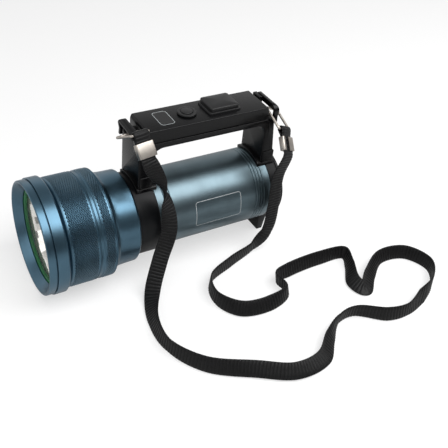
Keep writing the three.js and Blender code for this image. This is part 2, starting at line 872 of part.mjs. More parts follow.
// A shape in y and z, made half a width thick to each side along X
function crossways(shape, half, steps = 12) {
  const options = { depth: 2 * half, bevelEnabled: false, curveSegments: steps };
  const slab = new THREE.ExtrudeGeometry(shape, options);
  return solidOf(slab.rotateX(Math.PI / 2).rotateZ(Math.PI / 2).translate(-half, 0, 0));
}

const degrees = Math.PI / 180;

// Turned about Z, then the far end along X rolled down, then pitched about its own X
function leaning(turn, roll, pitch) {
  return new THREE.Matrix4().makeRotationZ(turn * degrees)
    .multiply(new THREE.Matrix4().makeRotationY(roll * degrees))
    .multiply(new THREE.Matrix4().makeRotationX(pitch * degrees));
}

// Where a ring's two short sides lie: the held side in the ear, the other carrying the webbing
function ringPlaces(x, y, z, turn, roll, drop) {
  const held = new THREE.Vector3(x, y, z);
  const away = new THREE.Vector3(0, -1, 0).applyMatrix4(leaning(turn, roll, drop));
  return { held, carrying: held.clone().addScaledVector(away, ringLength) };
}

const lipBottom = handleTop - earTopDrop - earLipThickness;
const heldZ = lipBottom - gap - ringWire / 2;
const frontRingAt = ringPlaces(coverFront - frontRingReach, -frontRingSide, heldZ, frontRingTurn, frontRingRoll,
  frontRingDrop);
const rearRingAt = ringPlaces(coverRear + rearRingReach, -rearRingSide, heldZ - rearRingFall, rearRingTurn,
  rearRingRoll, rearRingDrop);

// The wire oblong, from its carrying side at the origin to its held side along +Y
function wireRing(places, turn, roll, drop) {
  const half = ringWidth / 2;
  const corners = [
    [half - ringCorner, ringCorner, -Math.PI / 2],
    [half - ringCorner, ringLength - ringCorner, 0],
    [ringCorner - half, ringLength - ringCorner, Math.PI / 2],
    [ringCorner - half, ringCorner, Math.PI],
  ];
  const stations = [];
  for (const [x, y, start] of corners) {
    for (let i = 0; i <= 3; i += 1) {
      const angle = start + (Math.PI / 2) * (i / 3);
      const side = new THREE.Vector3(Math.cos(angle), Math.sin(angle), 0);
      const at = side.clone().multiplyScalar(ringCorner).add(new THREE.Vector3(x, y, 0));
      stations.push({ at, side, normal: new THREE.Vector3(0, 0, 1) });
    }
  }
  const ring = swept(stations, roundSection(ringWire / 2, wireSides), true);
  const place = leaning(turn, roll, drop).setPosition(places.carrying);
  return ring.transform(place.elements);
}

// The doubled webbing: round the wire, down through the crimp, and on as its cut end
const webInner = ringWire / 2 + gap;
const webOuter = webInner + webThickness;
const crimpTop = -loopDrop;
const crimpBottom = crimpTop - crimpLength;

function strapEnd(places, turn, roll, lean) {
  const outside = new THREE.Shape();
  outside.moveTo(webThickness, crimpBottom - webTail);
  outside.lineTo(webThickness, crimpTop);
  outside.absarc(0, 0, webOuter, 0, Math.PI);
  outside.lineTo(-webThickness, crimpTop);
  outside.lineTo(-webThickness, crimpBottom - webTail);
  const inside = new THREE.Path();
  inside.moveTo(0, crimpTop + webThickness);
  inside.lineTo(webInner, 0);
  inside.absarc(0, 0, webInner, 0, Math.PI);
  outside.holes.push(inside);
  const band = crossways(outside, webWidth / 2);
  const place = leaning(turn, roll, -lean).setPosition(places.carrying);
  return band.transform(place.elements);
}

function crimp(places, turn, roll, lean) {
  const inner = [webWidth / 2 + gap, webThickness + gap];
  const outer = inner.map((length) => length + crimpWall);
  const body = block(-outer[0], outer[0], -outer[1], outer[1], crimpBottom, crimpTop);
  const hole = block(-inner[0], inner[0], -inner[1], inner[1], crimpBottom - overrun,
    crimpTop + overrun);
  const place = leaning(turn, roll, -lean).setPosition(places.carrying);
  return body.subtract(hole).transform(place.elements);
}

// The free webbing, hand laid: [x, y, height of its middle above the ground, and where its upper
// edge points, as degrees round from +X and degrees up]
const strapRoute = [
  [78.7, -33.5, 106.4, 190, 0],
  [87, -35, 94, 135, 0],
  [92.6, -36.8, 75, 30, 0],
  [92.6, -38.3, 50, -33, 0],
  [85, -41.2, 26.5, -33, 3],
  [74.5, -51.5, 6.8, -25, 12],
  [63, -78, 5.8, -6, 60],
  [62, -104, 6.6, 12, 84],
  [77, -129, 6.4, 44, 70],
  [107, -147.5, 5.8, 58, 48],
  [132, -160.5, 5.3, 78, 40],
  [157, -158, 4.3, 118, 28],
  [172, -145, 5.3, 134, 50],
  [188, -134, 6.6, 115, 94],
  [204, -132.5, 6.6, 74, 94],
  [226, -146, 6.5, 64, 76],
  [243, -148.5, 6.6, 92, 82],
  [264, -141.5, 6, 113, 60],
  [283, -132.5, 6.6, 138, 88],
  [295.5, -115.5, 6.6, 170, 100],
  [287, -95.5, 6.4, 237, 110],
  [264, -91, 6.1, 272, 118],
  [243, -103.5, 4.9, 310, 140],
  [230, -114, 3, 262, 158],
  [225.5, -104.5, 4.8, 180, 140],
  [233.5, -88, 6.3, 152, 112],
  [238, -75, 6.6, 200, 100],
  [215, -71.5, 6.3, 272, 112],
  [184, -73, 6.2, 276, 116],
  [169.5, -77, 6.6, 330, 100],
  [170, -92, 6.5, 345, 104],
  [151, -98, 5.9, 282, 124],
  [127, -94, 6, 236, 122],
  [115.5, -77, 6.6, 178, 98],
  [121, -58, 6.6, 140, 94],
  [146, -46, 6.5, 116, 88],
  [172, -39, 7.5, 104, 98],
  [186, -38.5, 19, 190, 62],
  [189.3, -38.8, 46, 203, 20],
  [191.9, -39.6, 88.2, 194, 24],
];

function strap() {
  const knots = strapRoute.map(([x, y, height]) => new THREE.Vector3(x, y, height - axisHeight));
  const curve = new THREE.CatmullRomCurve3(knots);
  const last = strapRoute.length - 1;
  const stations = [];
  for (let i = 0; i <= strapSteps; i += 1) {
    const share = i / strapSteps;
    const at = curve.getPoint(share);
    const along = curve.getTangent(share);
    const knot = Math.min(Math.floor(share * last), last - 1);
    const between = (column) => THREE.MathUtils.lerp(strapRoute[knot][column],
      strapRoute[knot + 1][column], share * last - knot) * degrees;
    const turn = between(3);
    const rise = between(4);
    const side = new THREE.Vector3(Math.cos(turn) * Math.cos(rise), Math.sin(turn) * Math.cos(rise),
      Math.sin(rise));
    side.addScaledVector(along, -side.dot(along)).normalize();
    stations.push({ at, side, normal: along.clone().cross(side).normalize() });
  }
  const across = webWidth / 2;
  const thick = webThickness / 2;
  return swept(stations, [[-across, -thick], [across, -thick], [across, thick], [-across, thick]]);
}

add('front_bezel', frontBezel(), anodised);
add('lens_seal', sealRing(flangeDepth + gap + lensSealSection / 2, flangeRadius - lensSealInset,
  lensSealSection), sealGreen);
add('lens', bar(lensFront, lensFront + lensThickness, lensRadius, roundSides), clearGlass);
add('reflector', reflector(), mirror);
add('led_emitter', ledEmitter(), emitterYellow);
add('led_board', bar(ledBoardFront, ledBoardFront + ledBoardThickness, ledBoardRadius), boardWhite);
add('heat_sink', heatSink(), bareMetal);
add('head_housing', headHousing(), anodised);
add('head_seal', sealRing(tubeFront + headSealSetback, tubeRadius - headSealSection / 2 + gap / 2,
  headSealSection - gap), blackRubber);
add('body_tube', bodyTube(), anodised);
add('front_collar', bored(frontCollarRear, frontCollarFront, frontCollarRadius, tubeRadius + gap),
  darkMetal);
add('rear_collar', rearCollar(), darkMetal);
add('tail_cap', tailCap(), darkMetal);
add('tail_seal', sealRing(tubeRear + gap + tailSealSection / 2, (tubeBore + rearSpigotRadius) / 2,
  tailSealSection), blackRubber);
add('driver_can', driverCan(), bareMetal);
add('driver_board', driverBoard(), boardGreen);
add('battery_carrier', batteryCarrier(), carrierGrey);
[[1, 1], [1, -1], [-1, -1], [-1, 1]].forEach(([y, z], i) => {
  add(`battery_cell_${i + 1}`, cell().translate([0, y * cellOffset, z * cellOffset]), cellWrap);
});
add('front_spring', spring(canRear + gap, carrierFront - gap, springLarge, springSmall), bareMetal);
add('rear_spring', spring(carrierRear + gap, capPlugFront - gap, springSmall, springLarge), bareMetal);

add('front_saddle', saddle(frontLegFace - saddleOverhang, gripFront + saddleInboard,
  frontCollarRadius), blackPlastic);
add('rear_saddle', saddle(gripRear - saddleInboard, rearLegFace, tubeRadius), blackPlastic);
add('handle_base', handleBase(), blackPlastic);
add('handle_cover', handleCover(), blackPlastic);
add('gauge_window', plate(windowFront, windowFront + windowLength, -windowWidth / 2, windowWidth / 2,
  handleTop - windowThickness, handleTop, windowCorner), smokedWindow);
add('button_ring', buttonRing(), blackRubber);
add('power_button', powerButton(), blackRubber);
add('push_switch', pushSwitch(), darkMetal);
add('control_board', controlBoard(), boardGreen);
add('charge_socket', chargeSocket(), bareMetal);
add('port_frame', portFrame(), blackRubber);
add('port_flap', portFlap(), blackRubber);
add('front_ear', ear(coverFront, frontLegFace, -1), blackPlastic);
add('rear_ear', ear(coverRear, rearLegTop, 1), blackPlastic);
add('front_ring', wireRing(frontRingAt, frontRingTurn, frontRingRoll, frontRingDrop), warmSteel);
add('front_strap_end', strapEnd(frontRingAt, frontRingTurn, frontRingRoll, frontWebLean), webbing);
add('front_crimp', crimp(frontRingAt, frontRingTurn, frontRingRoll, frontWebLean), warmSteel);
add('rear_ring', wireRing(rearRingAt, rearRingTurn, rearRingRoll, rearRingDrop), warmSteel);
add('rear_strap_end', strapEnd(rearRingAt, rearRingTurn, rearRingRoll, rearWebLean), webbing);
add('rear_crimp', crimp(rearRingAt, rearRingTurn, rearRingRoll, rearWebLean), warmSteel);
add('strap', strap(), webbing);

// Set down on its bezel and foot, with the middle of its length, strap aside, over the origin
standing.position.z = axisHeight;
const firmLength = new THREE.Box3();
for (const mesh of standing.children) {
  if (!/strap|crimp/.test(mesh.name)) firmLength.expandByObject(mesh);
}
standing.position.x = -firmLength.getCenter(new THREE.Vector3()).x;

export default flashlight;
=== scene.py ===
# A rechargeable flashlight with a top handle and a ribbed webbing strap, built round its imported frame.
# Sizes are in millimetres. Places are measured along the body from the front of its lip (s), to the far
# side (y) and up (z) from its axis. A turned profile is a list of (s, radius) points.
import json
import math
import random

import bmesh
import bpy
from mathutils import Matrix, Vector


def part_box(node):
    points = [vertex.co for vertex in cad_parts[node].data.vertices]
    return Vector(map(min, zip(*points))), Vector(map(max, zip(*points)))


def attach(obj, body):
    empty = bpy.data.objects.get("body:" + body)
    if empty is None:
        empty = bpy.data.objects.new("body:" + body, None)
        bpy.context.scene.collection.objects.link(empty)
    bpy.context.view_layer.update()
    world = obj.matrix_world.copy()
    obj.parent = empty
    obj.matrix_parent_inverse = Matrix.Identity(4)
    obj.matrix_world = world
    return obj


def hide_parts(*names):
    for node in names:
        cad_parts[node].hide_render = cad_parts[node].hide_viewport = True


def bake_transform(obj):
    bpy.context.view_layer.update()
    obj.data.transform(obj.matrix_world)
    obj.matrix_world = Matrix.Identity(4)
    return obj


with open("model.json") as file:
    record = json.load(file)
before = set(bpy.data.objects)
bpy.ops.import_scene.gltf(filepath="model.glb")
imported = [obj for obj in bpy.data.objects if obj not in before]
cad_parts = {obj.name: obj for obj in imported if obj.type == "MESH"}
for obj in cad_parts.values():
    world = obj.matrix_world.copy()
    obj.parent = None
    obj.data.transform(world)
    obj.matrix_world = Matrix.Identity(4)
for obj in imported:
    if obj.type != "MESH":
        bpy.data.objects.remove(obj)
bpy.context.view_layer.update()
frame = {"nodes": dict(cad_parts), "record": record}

MM = 0.001
TAU = 2 * math.pi
bezel_low, bezel_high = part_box("front_bezel")
LIP_X = bezel_low.x
AXIS_Z = (bezel_low.z + bezel_high.z) / 2
GROUND = -(AXIS_Z / MM)


def place(s, y, z):
    """The point, in metres, for a place on the body."""
    return Vector((LIP_X + s * MM, y * MM, AXIS_Z + z * MM))


def around(s, radius, angle):
    """The point at a radius and an angle from the top, which turns towards the near side."""
    return place(s, -radius * math.sin(angle), radius * math.cos(angle))


def added(name, data):
    """A new object in the scene."""
    made = bpy.data.objects.new(name, data)
    bpy.context.scene.collection.objects.link(made)
    return made


# The camera stands where the photograph was taken from.
CAMERA_PLACE = (-0.21197, -0.40402, 0.39133)
CAMERA_AZIMUTH = -33.634
CAMERA_ELEVATION = 36.253
CAMERA_ROLL = 6.509
CAMERA_SENSOR = 36
CAMERA_LENS = 58.766
CAMERA_SHIFT = (0.01208, -0.06062)
CAMERA_CLIP = (0.02, 20)


def make_camera():
    turn, rise = math.radians(CAMERA_AZIMUTH), math.radians(CAMERA_ELEVATION)
    back = Vector((math.sin(turn) * math.cos(rise), -math.cos(turn) * math.cos(rise), math.sin(rise)))
    level = Vector((math.cos(turn), math.sin(turn), 0))
    upright = back.cross(level)
    roll = math.radians(CAMERA_ROLL)
    right = level * math.cos(roll) + upright * math.sin(roll)
    top = upright * math.cos(roll) - level * math.sin(roll)
    data = bpy.data.cameras.new("camera")
    data.sensor_width = CAMERA_SENSOR
    data.lens = CAMERA_LENS
    data.shift_x, data.shift_y = CAMERA_SHIFT
    data.clip_start, data.clip_end = CAMERA_CLIP
    camera = added("camera", data)
    turned_axes = Matrix((right, top, back)).transposed().to_4x4()
    camera.matrix_world = Matrix.Translation(CAMERA_PLACE) @ turned_axes
    bpy.context.scene.camera = camera


make_camera()

# Materials
FINISHES = {}
DARK_AT = 0.3
LIGHT_AT = 0.7


class Finish:
    """A node material kept under its name, with short ways to vary its colour and gloss and to bump it."""

    def __init__(self, name, colour, roughness, metallic=0.0, **sockets):
        self.base = colour
        self.roughness = roughness
        self.material = bpy.data.materials.new(name)
        self.material.use_nodes = True
        self.tree = self.material.node_tree
        self.shader = self.tree.nodes["Principled BSDF"]
        self.shader.inputs["Base Color"].default_value = (*colour, 1)
        self.shader.inputs["Roughness"].default_value = roughness
        self.shader.inputs["Metallic"].default_value = metallic
        for socket, value in sockets.items():
            self.shader.inputs[socket.replace("_", " ")].default_value = value
        self.place = self.tree.nodes.new("ShaderNodeTexCoord").outputs["Object"]
        FINISHES[name] = self.material

    def noise(self, scale, detail, stretch=(1, 1, 1)):
        """A noise with so many cells in a metre, times the stretch along each axis."""
        mapping = self.tree.nodes.new("ShaderNodeMapping")
        mapping.inputs["Scale"].default_value = stretch
        self.tree.links.new(self.place, mapping.inputs["Vector"])
        node = self.tree.nodes.new("ShaderNodeTexNoise")
        node.inputs["Scale"].default_value = scale
        node.inputs["Detail"].default_value = detail
        self.tree.links.new(mapping.outputs["Vector"], node.inputs["Vector"])
        return node.outputs["Fac"]

    def tint(self, noise, dark, light):
        """Lets the colour go from dark to light, as shares of the base colour."""
        node = self.tree.nodes.new("ShaderNodeValToRGB")
        for element, at, share in zip(node.color_ramp.elements, (DARK_AT, LIGHT_AT), (dark, light)):
            element.position = at
            element.color = (*(channel * share for channel in self.base), 1)
        self.tree.links.new(noise, node.inputs["Fac"])
        self.tree.links.new(node.outputs["Color"], self.shader.inputs["Base Color"])

    def wear(self, noise, below, above):
        """Lets the roughness go from a little below its value to a little above it."""
        node = self.tree.nodes.new("ShaderNodeMapRange")
        node.inputs["To Min"].default_value = self.roughness - below
        node.inputs["To Max"].default_value = self.roughness + above
        self.tree.links.new(noise, node.inputs["Value"])
        self.tree.links.new(node.outputs["Result"], self.shader.inputs["Roughness"])

    def bump(self, noise, depth, strength):
        """Raises the surface by a depth in metres."""
        node = self.tree.nodes.new("ShaderNodeBump")
        node.inputs["Strength"].default_value = strength
        node.inputs["Distance"].default_value = depth
        self.tree.links.new(noise, node.inputs["Height"])
        self.tree.links.new(node.outputs["Normal"], self.shader.inputs["Normal"])


TURNED_MARKS = (2600, 14, 14)
BRUSHED_MARKS = (400, 400, 60)
MARK_DEPTH = 0.00001


def anodised(name, colour, roughness, metallic=1.0, gloss=0.5):
    """Turned and anodised aluminium: faint lines round the axis, with slight clouding."""
    finish = Finish(name, colour, roughness, metallic, Specular_IOR_Level=gloss)
    lines = finish.noise(1, 3, TURNED_MARKS)
    finish.tint(finish.noise(60, 3), dark=0.9, light=1.1)
    finish.wear(lines, below=0.05, above=0.07)
    finish.bump(lines, MARK_DEPTH, strength=0.6)


def moulded(name, colour, roughness, grain, depth=0.00004, gloss=0.5):
    """Moulded plastic or rubber with a fine grain and slight wear in its gloss."""
    finish = Finish(name, colour, roughness, Specular_IOR_Level=gloss)
    fine = finish.noise(grain, 2)
    clouds = finish.noise(45, 3)
    finish.tint(clouds, dark=0.85, light=1.2)
    finish.wear(clouds, below=0.05, above=0.06)
    finish.bump(fine, depth, strength=0.5)


def metal(name, colour, roughness, marks=BRUSHED_MARKS):
    """Bare metal with faint brush marks."""
    finish = Finish(name, colour, roughness, 1.0)
    lines = finish.noise(1, 3, marks)
    finish.tint(finish.noise(120, 2), dark=0.88, light=1.08)
    finish.wear(lines, below=0.05, above=0.08)
    finish.bump(lines, MARK_DEPTH, strength=0.5)


def webbing(name, colour, roughness):
    """Nylon webbing: fine yarns across the ribs, a little sheen."""
    finish = Finish(name, colour, roughness, Specular_IOR_Level=0.2, Sheen_Weight=0.02)
    yarns = finish.noise(1500, 2)
    finish.tint(yarns, dark=0.6, light=1.7)
    finish.bump(yarns, depth=0.00012, strength=0.7)


def glass(name, colour, roughness):
    """Thin clear glass that mostly lets the view through."""
    finish = Finish(name, colour, roughness, Alpha=0.07)
    finish.bump(finish.noise(40, 1), depth=0.00002, strength=0.1)


def ink(name, colour, roughness):
    """A printed line with a fine grain in its colour."""
    finish = Finish(name, colour, roughness)
    finish.tint(finish.noise(3000, 2), dark=0.85, light=1.1)


anodised("blue_anodised", (0.08, 0.15, 0.205), 0.31)
anodised("tube_blue", (0.125, 0.172, 0.195), 0.36)
# The knurl gets a copy of the head's anodised blue, paler and greyer, whose colour paints how the knurl
# catches the light.
anodised("knurl_painted_light_blue", (0.12, 0.18, 0.222), 0.34)
anodised("black_anodised", (0.003, 0.0035, 0.0045), 0.42, metallic=0.0, gloss=0.2)
anodised("bare_aluminium", (0.62, 0.63, 0.64), 0.3)
moulded("green_seal", (0.008, 0.13, 0.04), 0.3, grain=900)
moulded("black_rubber", (0.007, 0.007, 0.0076), 0.42, grain=1800, depth=0.00001, gloss=0.4)
moulded("black_plastic", (0.0028, 0.0028, 0.0032), 0.24, grain=2200, depth=0.000006, gloss=0.22)
moulded("grey_plastic", (0.008, 0.008, 0.0087), 0.5, grain=2200, gloss=0.4)
moulded("smoked_window", (0.008, 0.008, 0.0085), 0.3, grain=300, depth=0.00001, gloss=0.3)
metal("warm_steel", (0.5, 0.46, 0.415), 0.36)
metal("spring_steel", (0.5, 0.5, 0.51), 0.3)
metal("polished_reflector", (0.97, 0.94, 0.89), 0.08, marks=(60, 60, 60))
moulded("green_board", (0.015, 0.12, 0.045), 0.4, grain=1200)
moulded("white_board", (0.7, 0.7, 0.66), 0.4, grain=1200)
moulded("emitter", (0.75, 0.5, 0.05), 0.2, grain=400)
moulded("cell_sleeve", (0.04, 0.16, 0.27), 0.35, grain=700)
webbing("black_webbing", (0.0045, 0.0045, 0.0048), 0.46)
glass("clear_glass", (0.95, 0.98, 0.98), 0.02)
ink("pale_line", (0.42, 0.45, 0.46), 0.5)

# Meshes
SHARP = math.radians(32)
WELD = 0.00001
FLAT = math.radians(2)
EDGE_TURN = math.radians(25)
EDGE_STEPS = 3


def soften(mesh):
    """Shades a mesh smooth but for its sharp edges."""
    mesh.shade_smooth()
    mesh.set_sharp_from_angle(angle=SHARP)


def piece(name, points, faces, finish, body="torch", node=None, slot=None, smooth=True):
    """A mesh piece from its points and faces, finished, riding on a body, in place of a node."""
    mesh = bpy.data.meshes.new(name)
    mesh.from_pydata([tuple(p) for p in points], [], faces)
    shape = bmesh.new()
    shape.from_mesh(mesh)
    bmesh.ops.recalc_face_normals(shape, faces=shape.faces)
    shape.to_mesh(mesh)
    shape.free()
    made = added(name, mesh)
    if smooth:
        soften(mesh)
    mesh.materials.append(FINISHES[finish])
    if body:
        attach(made, body)
    if node:
        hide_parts(node)
    return made


def quads(rings, sides, closed=False):
    """The faces between rings of points. Closed joins the last ring to the first."""
    faces = []
    for i in range(rings if closed else rings - 1):
        here = i * sides
        there = (i + 1) % rings * sides
        for k in range(sides):
            after = (k + 1) % sides
            faces.append((here + k, here + after, there + after, there + k))
    return faces


def lids(rings, sides):
    """The two faces that close the ends of a row of rings."""
    last = (rings - 1) * sides
    return [tuple(reversed(range(sides))), tuple(last + k for k in range(sides))]


def rectangle(s0, s1, low, high):
    """The corners of a rectangle, from its lower front one round."""
    return [(s0, low), (s1, low), (s1, high), (s0, high)]


EASE_SHARE = 0.45
LEAST_EASE = 0.02
NEARLY_STRAIGHT = math.radians(172)


def eased(profile, radius, closed=True, steps=4):
    """The profile with each corner rounded by a small curve of about this radius."""
    count = len(profile)
    result = []
    for i, point in enumerate(profile):
        here = Vector(point)
        if not closed and i in (0, count - 1):
            result.append(here)
            continue
        before, after = Vector(profile[i - 1]), Vector(profile[(i + 1) % count])
        reach = min(radius, (before - here).length * EASE_SHARE, (after - here).length * EASE_SHARE)
        turn = (before - here).angle(after - here, math.pi)
        if reach < LEAST_EASE or turn > NEARLY_STRAIGHT:
            result.append(here)
            continue
        start = here + (before - here).normalized() * reach
        end = here + (after - here).normalized() * reach
        for k in range(steps + 1):
            t = k / steps
            result.append(start * (1 - t) ** 2 + here * 2 * t * (1 - t) + end * t ** 2)
    return result


def turned(name, profile, finish, sides=160, radius=0.35, closed=True, **where):
    """A profile turned about the body's axis, its corners eased by a radius."""
    rows = eased(profile, radius, closed)
    points = [around(s, r, TAU * k / sides) for s, r in rows for k in range(sides)]
    faces = quads(len(rows), sides, closed)
    if not closed:
        faces += lids(len(rows), sides)
    return piece(name, points, faces, finish, **where)


LEAST_MITRE = 0.35


def slab(name, outline, y0, y1, finish, edge, rounding, steps=4, **where):
    """An outline of (s, z) points made thick along Y, with its corners and its long edges rounded."""
    shape = eased(outline, rounding)
    area = sum(a.x * b.y - b.x * a.y for a, b in zip(shape, shape[1:] + shape[:1]))
    if area < 0:
        shape.reverse()
    count = len(shape)
    inward = []
    for i in range(count):
        before, here, after = shape[i - 1], shape[i], shape[(i + 1) % count]
        first, second = (here - before).normalized(), (after - here).normalized()
        normal = Vector((-first.y - second.y, first.x + second.x)).normalized()
        inward.append(normal / max(LEAST_MITRE, normal.dot(Vector((-first.y, first.x)))))
    angles = [math.pi / 2 * k / steps for k in range(steps + 1)]
    rows = [(edge * (1 - math.sin(a)), y0 + edge * (1 - math.cos(a))) for a in angles]
    rows += [(inset, y1 - (y - y0)) for inset, y in reversed(rows)]
    points = []
    for inset, y in rows:
        points += [place(p.x + n.x * inset, y, p.y + n.y * inset) for p, n in zip(shape, inward)]
    return piece(name, points, quads(len(rows), count) + lids(len(rows), count), finish, **where)


def dressed(node, finish, width, body="torch"):
    """A copy of a node's shape with its sharp edges rounded, in place of the node."""
    mesh = frame["nodes"][node].data.copy()
    shape = bmesh.new()
    shape.from_mesh(mesh)
    bmesh.ops.remove_doubles(shape, verts=shape.verts, dist=WELD)
    bmesh.ops.dissolve_limit(shape, angle_limit=FLAT, verts=shape.verts, edges=shape.edges)
    sharp = [e for e in shape.edges if len(e.link_faces) == 2 and e.calc_face_angle(0) > EDGE_TURN]
    bmesh.ops.bevel(shape, geom=sharp, offset=width * MM, segments=EDGE_STEPS, profile=0.5,
                    affect="EDGES", clamp_overlap=True)
    bmesh.ops.triangulate(shape, faces=[f for f in shape.faces if len(f.verts) > 4])
    shape.to_mesh(mesh)
    shape.free()
    mesh.materials.clear()
    mesh.materials.append(FINISHES[finish])
    soften(mesh)
    made = added(node + "_piece", mesh)
    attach(made, body)
    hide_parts(node)


def hulled(name, corners, finish, edge, **where):
    """The block that eight corners span, with rounded edges."""
    shape = bmesh.new()
    for corner in corners:
        shape.verts.new(place(*corner))
    bmesh.ops.convex_hull(shape, input=shape.verts)
    bmesh.ops.dissolve_limit(shape, angle_limit=FLAT / 2, verts=shape.verts, edges=shape.edges)
    bmesh.ops.bevel(shape, geom=list(shape.edges), offset=edge * MM, segments=EDGE_STEPS, profile=0.5,
                    affect="EDGES")
    bmesh.ops.recalc_face_normals(shape, faces=shape.faces)
    shape.verts.index_update()
    points = [v.co.copy() for v in shape.verts]
    faces = [tuple(v.index for v in f.verts) for f in shape.faces]
    shape.free()
    return piece(name, points, faces, finish, **where)


def swept(name, stations, section, finish, closed=False, **where):
    """Carries a section of (across, outward) points along stations of (at, side, normal, thickness)."""
    points = []
    for at, side, normal, *swell in stations:
        thick = swell[0] if swell else 1
        points += [at + (side * a + normal * b * thick) * MM for a, b in section]
    faces = quads(len(stations), len(section), closed)
    if not closed:
        faces += lids(len(stations), len(section))
    return piece(name, points, faces, finish, **where)


def circle(radius, sides=16):
    """The points of a round section."""
    return [(radius * math.cos(TAU * k / sides), radius * math.sin(TAU * k / sides)) for k in range(sides)]


def rounded_box(half_x, half_y, corner, steps=6):
    """The outline of a box with round corners, from its right side round to the left."""
    loop = []
    for cx, cy, start in ((1, 1, 0), (-1, 1, 90), (-1, -1, 180), (1, -1, 270)):
        for k in range(steps + 1):
            angle = math.radians(start + 90 * k / steps)
            loop.append((cx * (half_x - corner) + corner * math.cos(angle),
                         cy * (half_y - corner) + corner * math.sin(angle)))
    return loop


CROWN_SHARES = (0.8, 0.55, 0.25)


def plate(name, s0, s1, half, z0, z1, corner, finish, edge, steps=3, crown=0.0, aside=0.0, **where):
    """A plate with round corners and a rounded upper edge. Crown raises its middle, aside moves it."""
    middle = (s0 + s1) / 2
    loop = rounded_box((s1 - s0) / 2, half, corner)
    rings = [(1, 1, z0)]
    for k in range(steps + 1):
        angle = math.pi / 2 * k / steps
        inset = edge * (1 - math.cos(angle))
        rings.append((1 - 2 * inset / (s1 - s0), 1 - inset / half, z1 - edge * (1 - math.sin(angle))))
    rings += [(share, share, z1 + crown * (1 - share ** 2)) for share in CROWN_SHARES]
    points = [place(middle + x * long, y * wide + aside, z) for long, wide, z in rings for x, y in loop]
    faces = quads(len(rings), len(loop)) + lids(len(rings), len(loop))
    return piece(name, points, faces, finish, **where)


LINE_STEP = 1.5
LINE_CORNER_STEPS = 8
LINE_THICK = 0.06


def outline_band(name, low, high, corner, width, mapping, slot):
    """A thin printed line round a rounded rectangle, laid on a surface by mapping(u, v, height)."""
    (u0, v0), (u1, v1) = low, high
    middle_u, middle_v = (u0 + u1) / 2, (v0 + v1) / 2
    loop = []
    for u, v, start in ((u1, v1, 0), (u0, v1, 1), (u0, v0, 2), (u1, v0, 3)):
        centre_u = u - math.copysign(corner, u - middle_u)
        centre_v = v - math.copysign(corner, v - middle_v)
        for k in range(LINE_CORNER_STEPS + 1):
            angle = math.pi / 2 * (start + k / LINE_CORNER_STEPS)
            loop.append((centre_u, centre_v, math.cos(angle), math.sin(angle)))
    fine = []
    for here, there in zip(loop, loop[1:] + loop[:1]):
        fine.append(here)
        run = math.hypot(there[0] + there[2] * corner - here[0] - here[2] * corner,
                         there[1] + there[3] * corner - here[1] - here[3] * corner)
        extra = int(run / LINE_STEP)
        for k in range(1, extra):
            fine.append(tuple(a + (b - a) * k / extra for a, b in zip(here, there)))
    section = ((corner, 0), (corner, LINE_THICK), (corner - width, LINE_THICK), (corner - width, 0))
    points = [mapping(u + out_u * reach, v + out_v * reach, height)
              for u, v, out_u, out_v in fine for reach, height in section]
    return piece(name, points, quads(len(fine), len(section), closed=True), "pale_line", slot=slot)


def cut(made, cutter):
    """Takes the cutter's shape out of a piece and removes the cutter."""
    step = made.modifiers.new("cut", "BOOLEAN")
    step.operation = "DIFFERENCE"
    step.solver = "EXACT"
    step.object = cutter
    shown = made.evaluated_get(bpy.context.evaluated_depsgraph_get())
    mesh = bpy.data.meshes.new_from_object(shown)
    made.modifiers.clear()
    made.data = mesh
    soften(mesh)
    bpy.data.objects.remove(cutter)


# Sizes that neighbours on the body share. Slip is the play between them, and a turned piece with no
# bore starts at the core's radius.
SLIP = 0.3
CORE = 0.5
HEAD_RADIUS = 41.4
HEAD_REAR = 72.6
TUBE_RADIUS = 30
TUBE_BORE = 27
TUBE_FRONT = 58.6
TUBE_SHOULDER = 188.6
THREAD_RADIUS = 28.3

# Bezel: a lip with a fine groove behind it, a smooth band, and a bore for seal, glass and head
LIP_RADIUS = 42.8
LIP_WALL = 1.6
LIP_FACE = 0.6
GROOVE_FRONT = 5.3
GROOVE_RADIUS = 42
GROOVE_SLOPE = 0.2
GROOVE_WIDTH = 0.8
BEZEL_RADIUS = 43.6
BEZEL_REAR = 15.3
BEZEL_CHAMFER = 1.2
BEZEL_BORE = 37.9
MOUTH_RADIUS = 36.2
MOUTH_FRONT = 6.8
MOUTH_REAR = 7.1


def make_bezel():
    groove_rear = GROOVE_FRONT + GROOVE_WIDTH
    lip_inside = LIP_RADIUS - LIP_WALL
    turned("bezel", [
        (GROOVE_SLOPE, lip_inside), (0, lip_inside + 2 * GROOVE_SLOPE), (0, LIP_RADIUS - LIP_FACE),
        (LIP_FACE, LIP_RADIUS), (GROOVE_FRONT, LIP_RADIUS), (GROOVE_FRONT + GROOVE_SLOPE, GROOVE_RADIUS),
        (groove_rear - GROOVE_SLOPE, GROOVE_RADIUS), (groove_rear, BEZEL_RADIUS),
        (BEZEL_REAR - BEZEL_CHAMFER, BEZEL_RADIUS), (BEZEL_REAR, BEZEL_RADIUS - BEZEL_CHAMFER),
        (BEZEL_REAR, BEZEL_BORE), (MOUTH_REAR, BEZEL_BORE), (MOUTH_FRONT, MOUTH_RADIUS),
    ], "blue_anodised", sides=240, radius=0.2, node="front_bezel")


make_bezel()

# Head: a stepped front, two knurled bands with a waist between them, and a neck
HEAD_FRONT = 12.5
HEAD_BORE = 36.1
SPIGOT_RADIUS = 37.6
STEP_AT = 15.6
STEP_RADIUS = 39.9
STEP_END = 17.3
BANDS = {"front": (18, 37.8), "rear": (42.2, 50.5)}
BED_RADIUS = 40.75
BED_SLOPE = 0.1
WAIST = (38.4, 41.6)
WAIST_SLOPE = 0.6
WAIST_DEPTH = 0.8
BANDS_END = 51.1
NECK_FRONT = 53.4
NECK_LENGTH = 17.6
NECK_RADII = (38, 35.8)
NECK_HOLLOW = 1.1
NECK_STEPS = 12
HEAD_EDGE = 34.2
SINK_ROOM = (41.1, 49.1)
SINK_RADIUS = 34.8
THROAT_RADIUS = 27.5


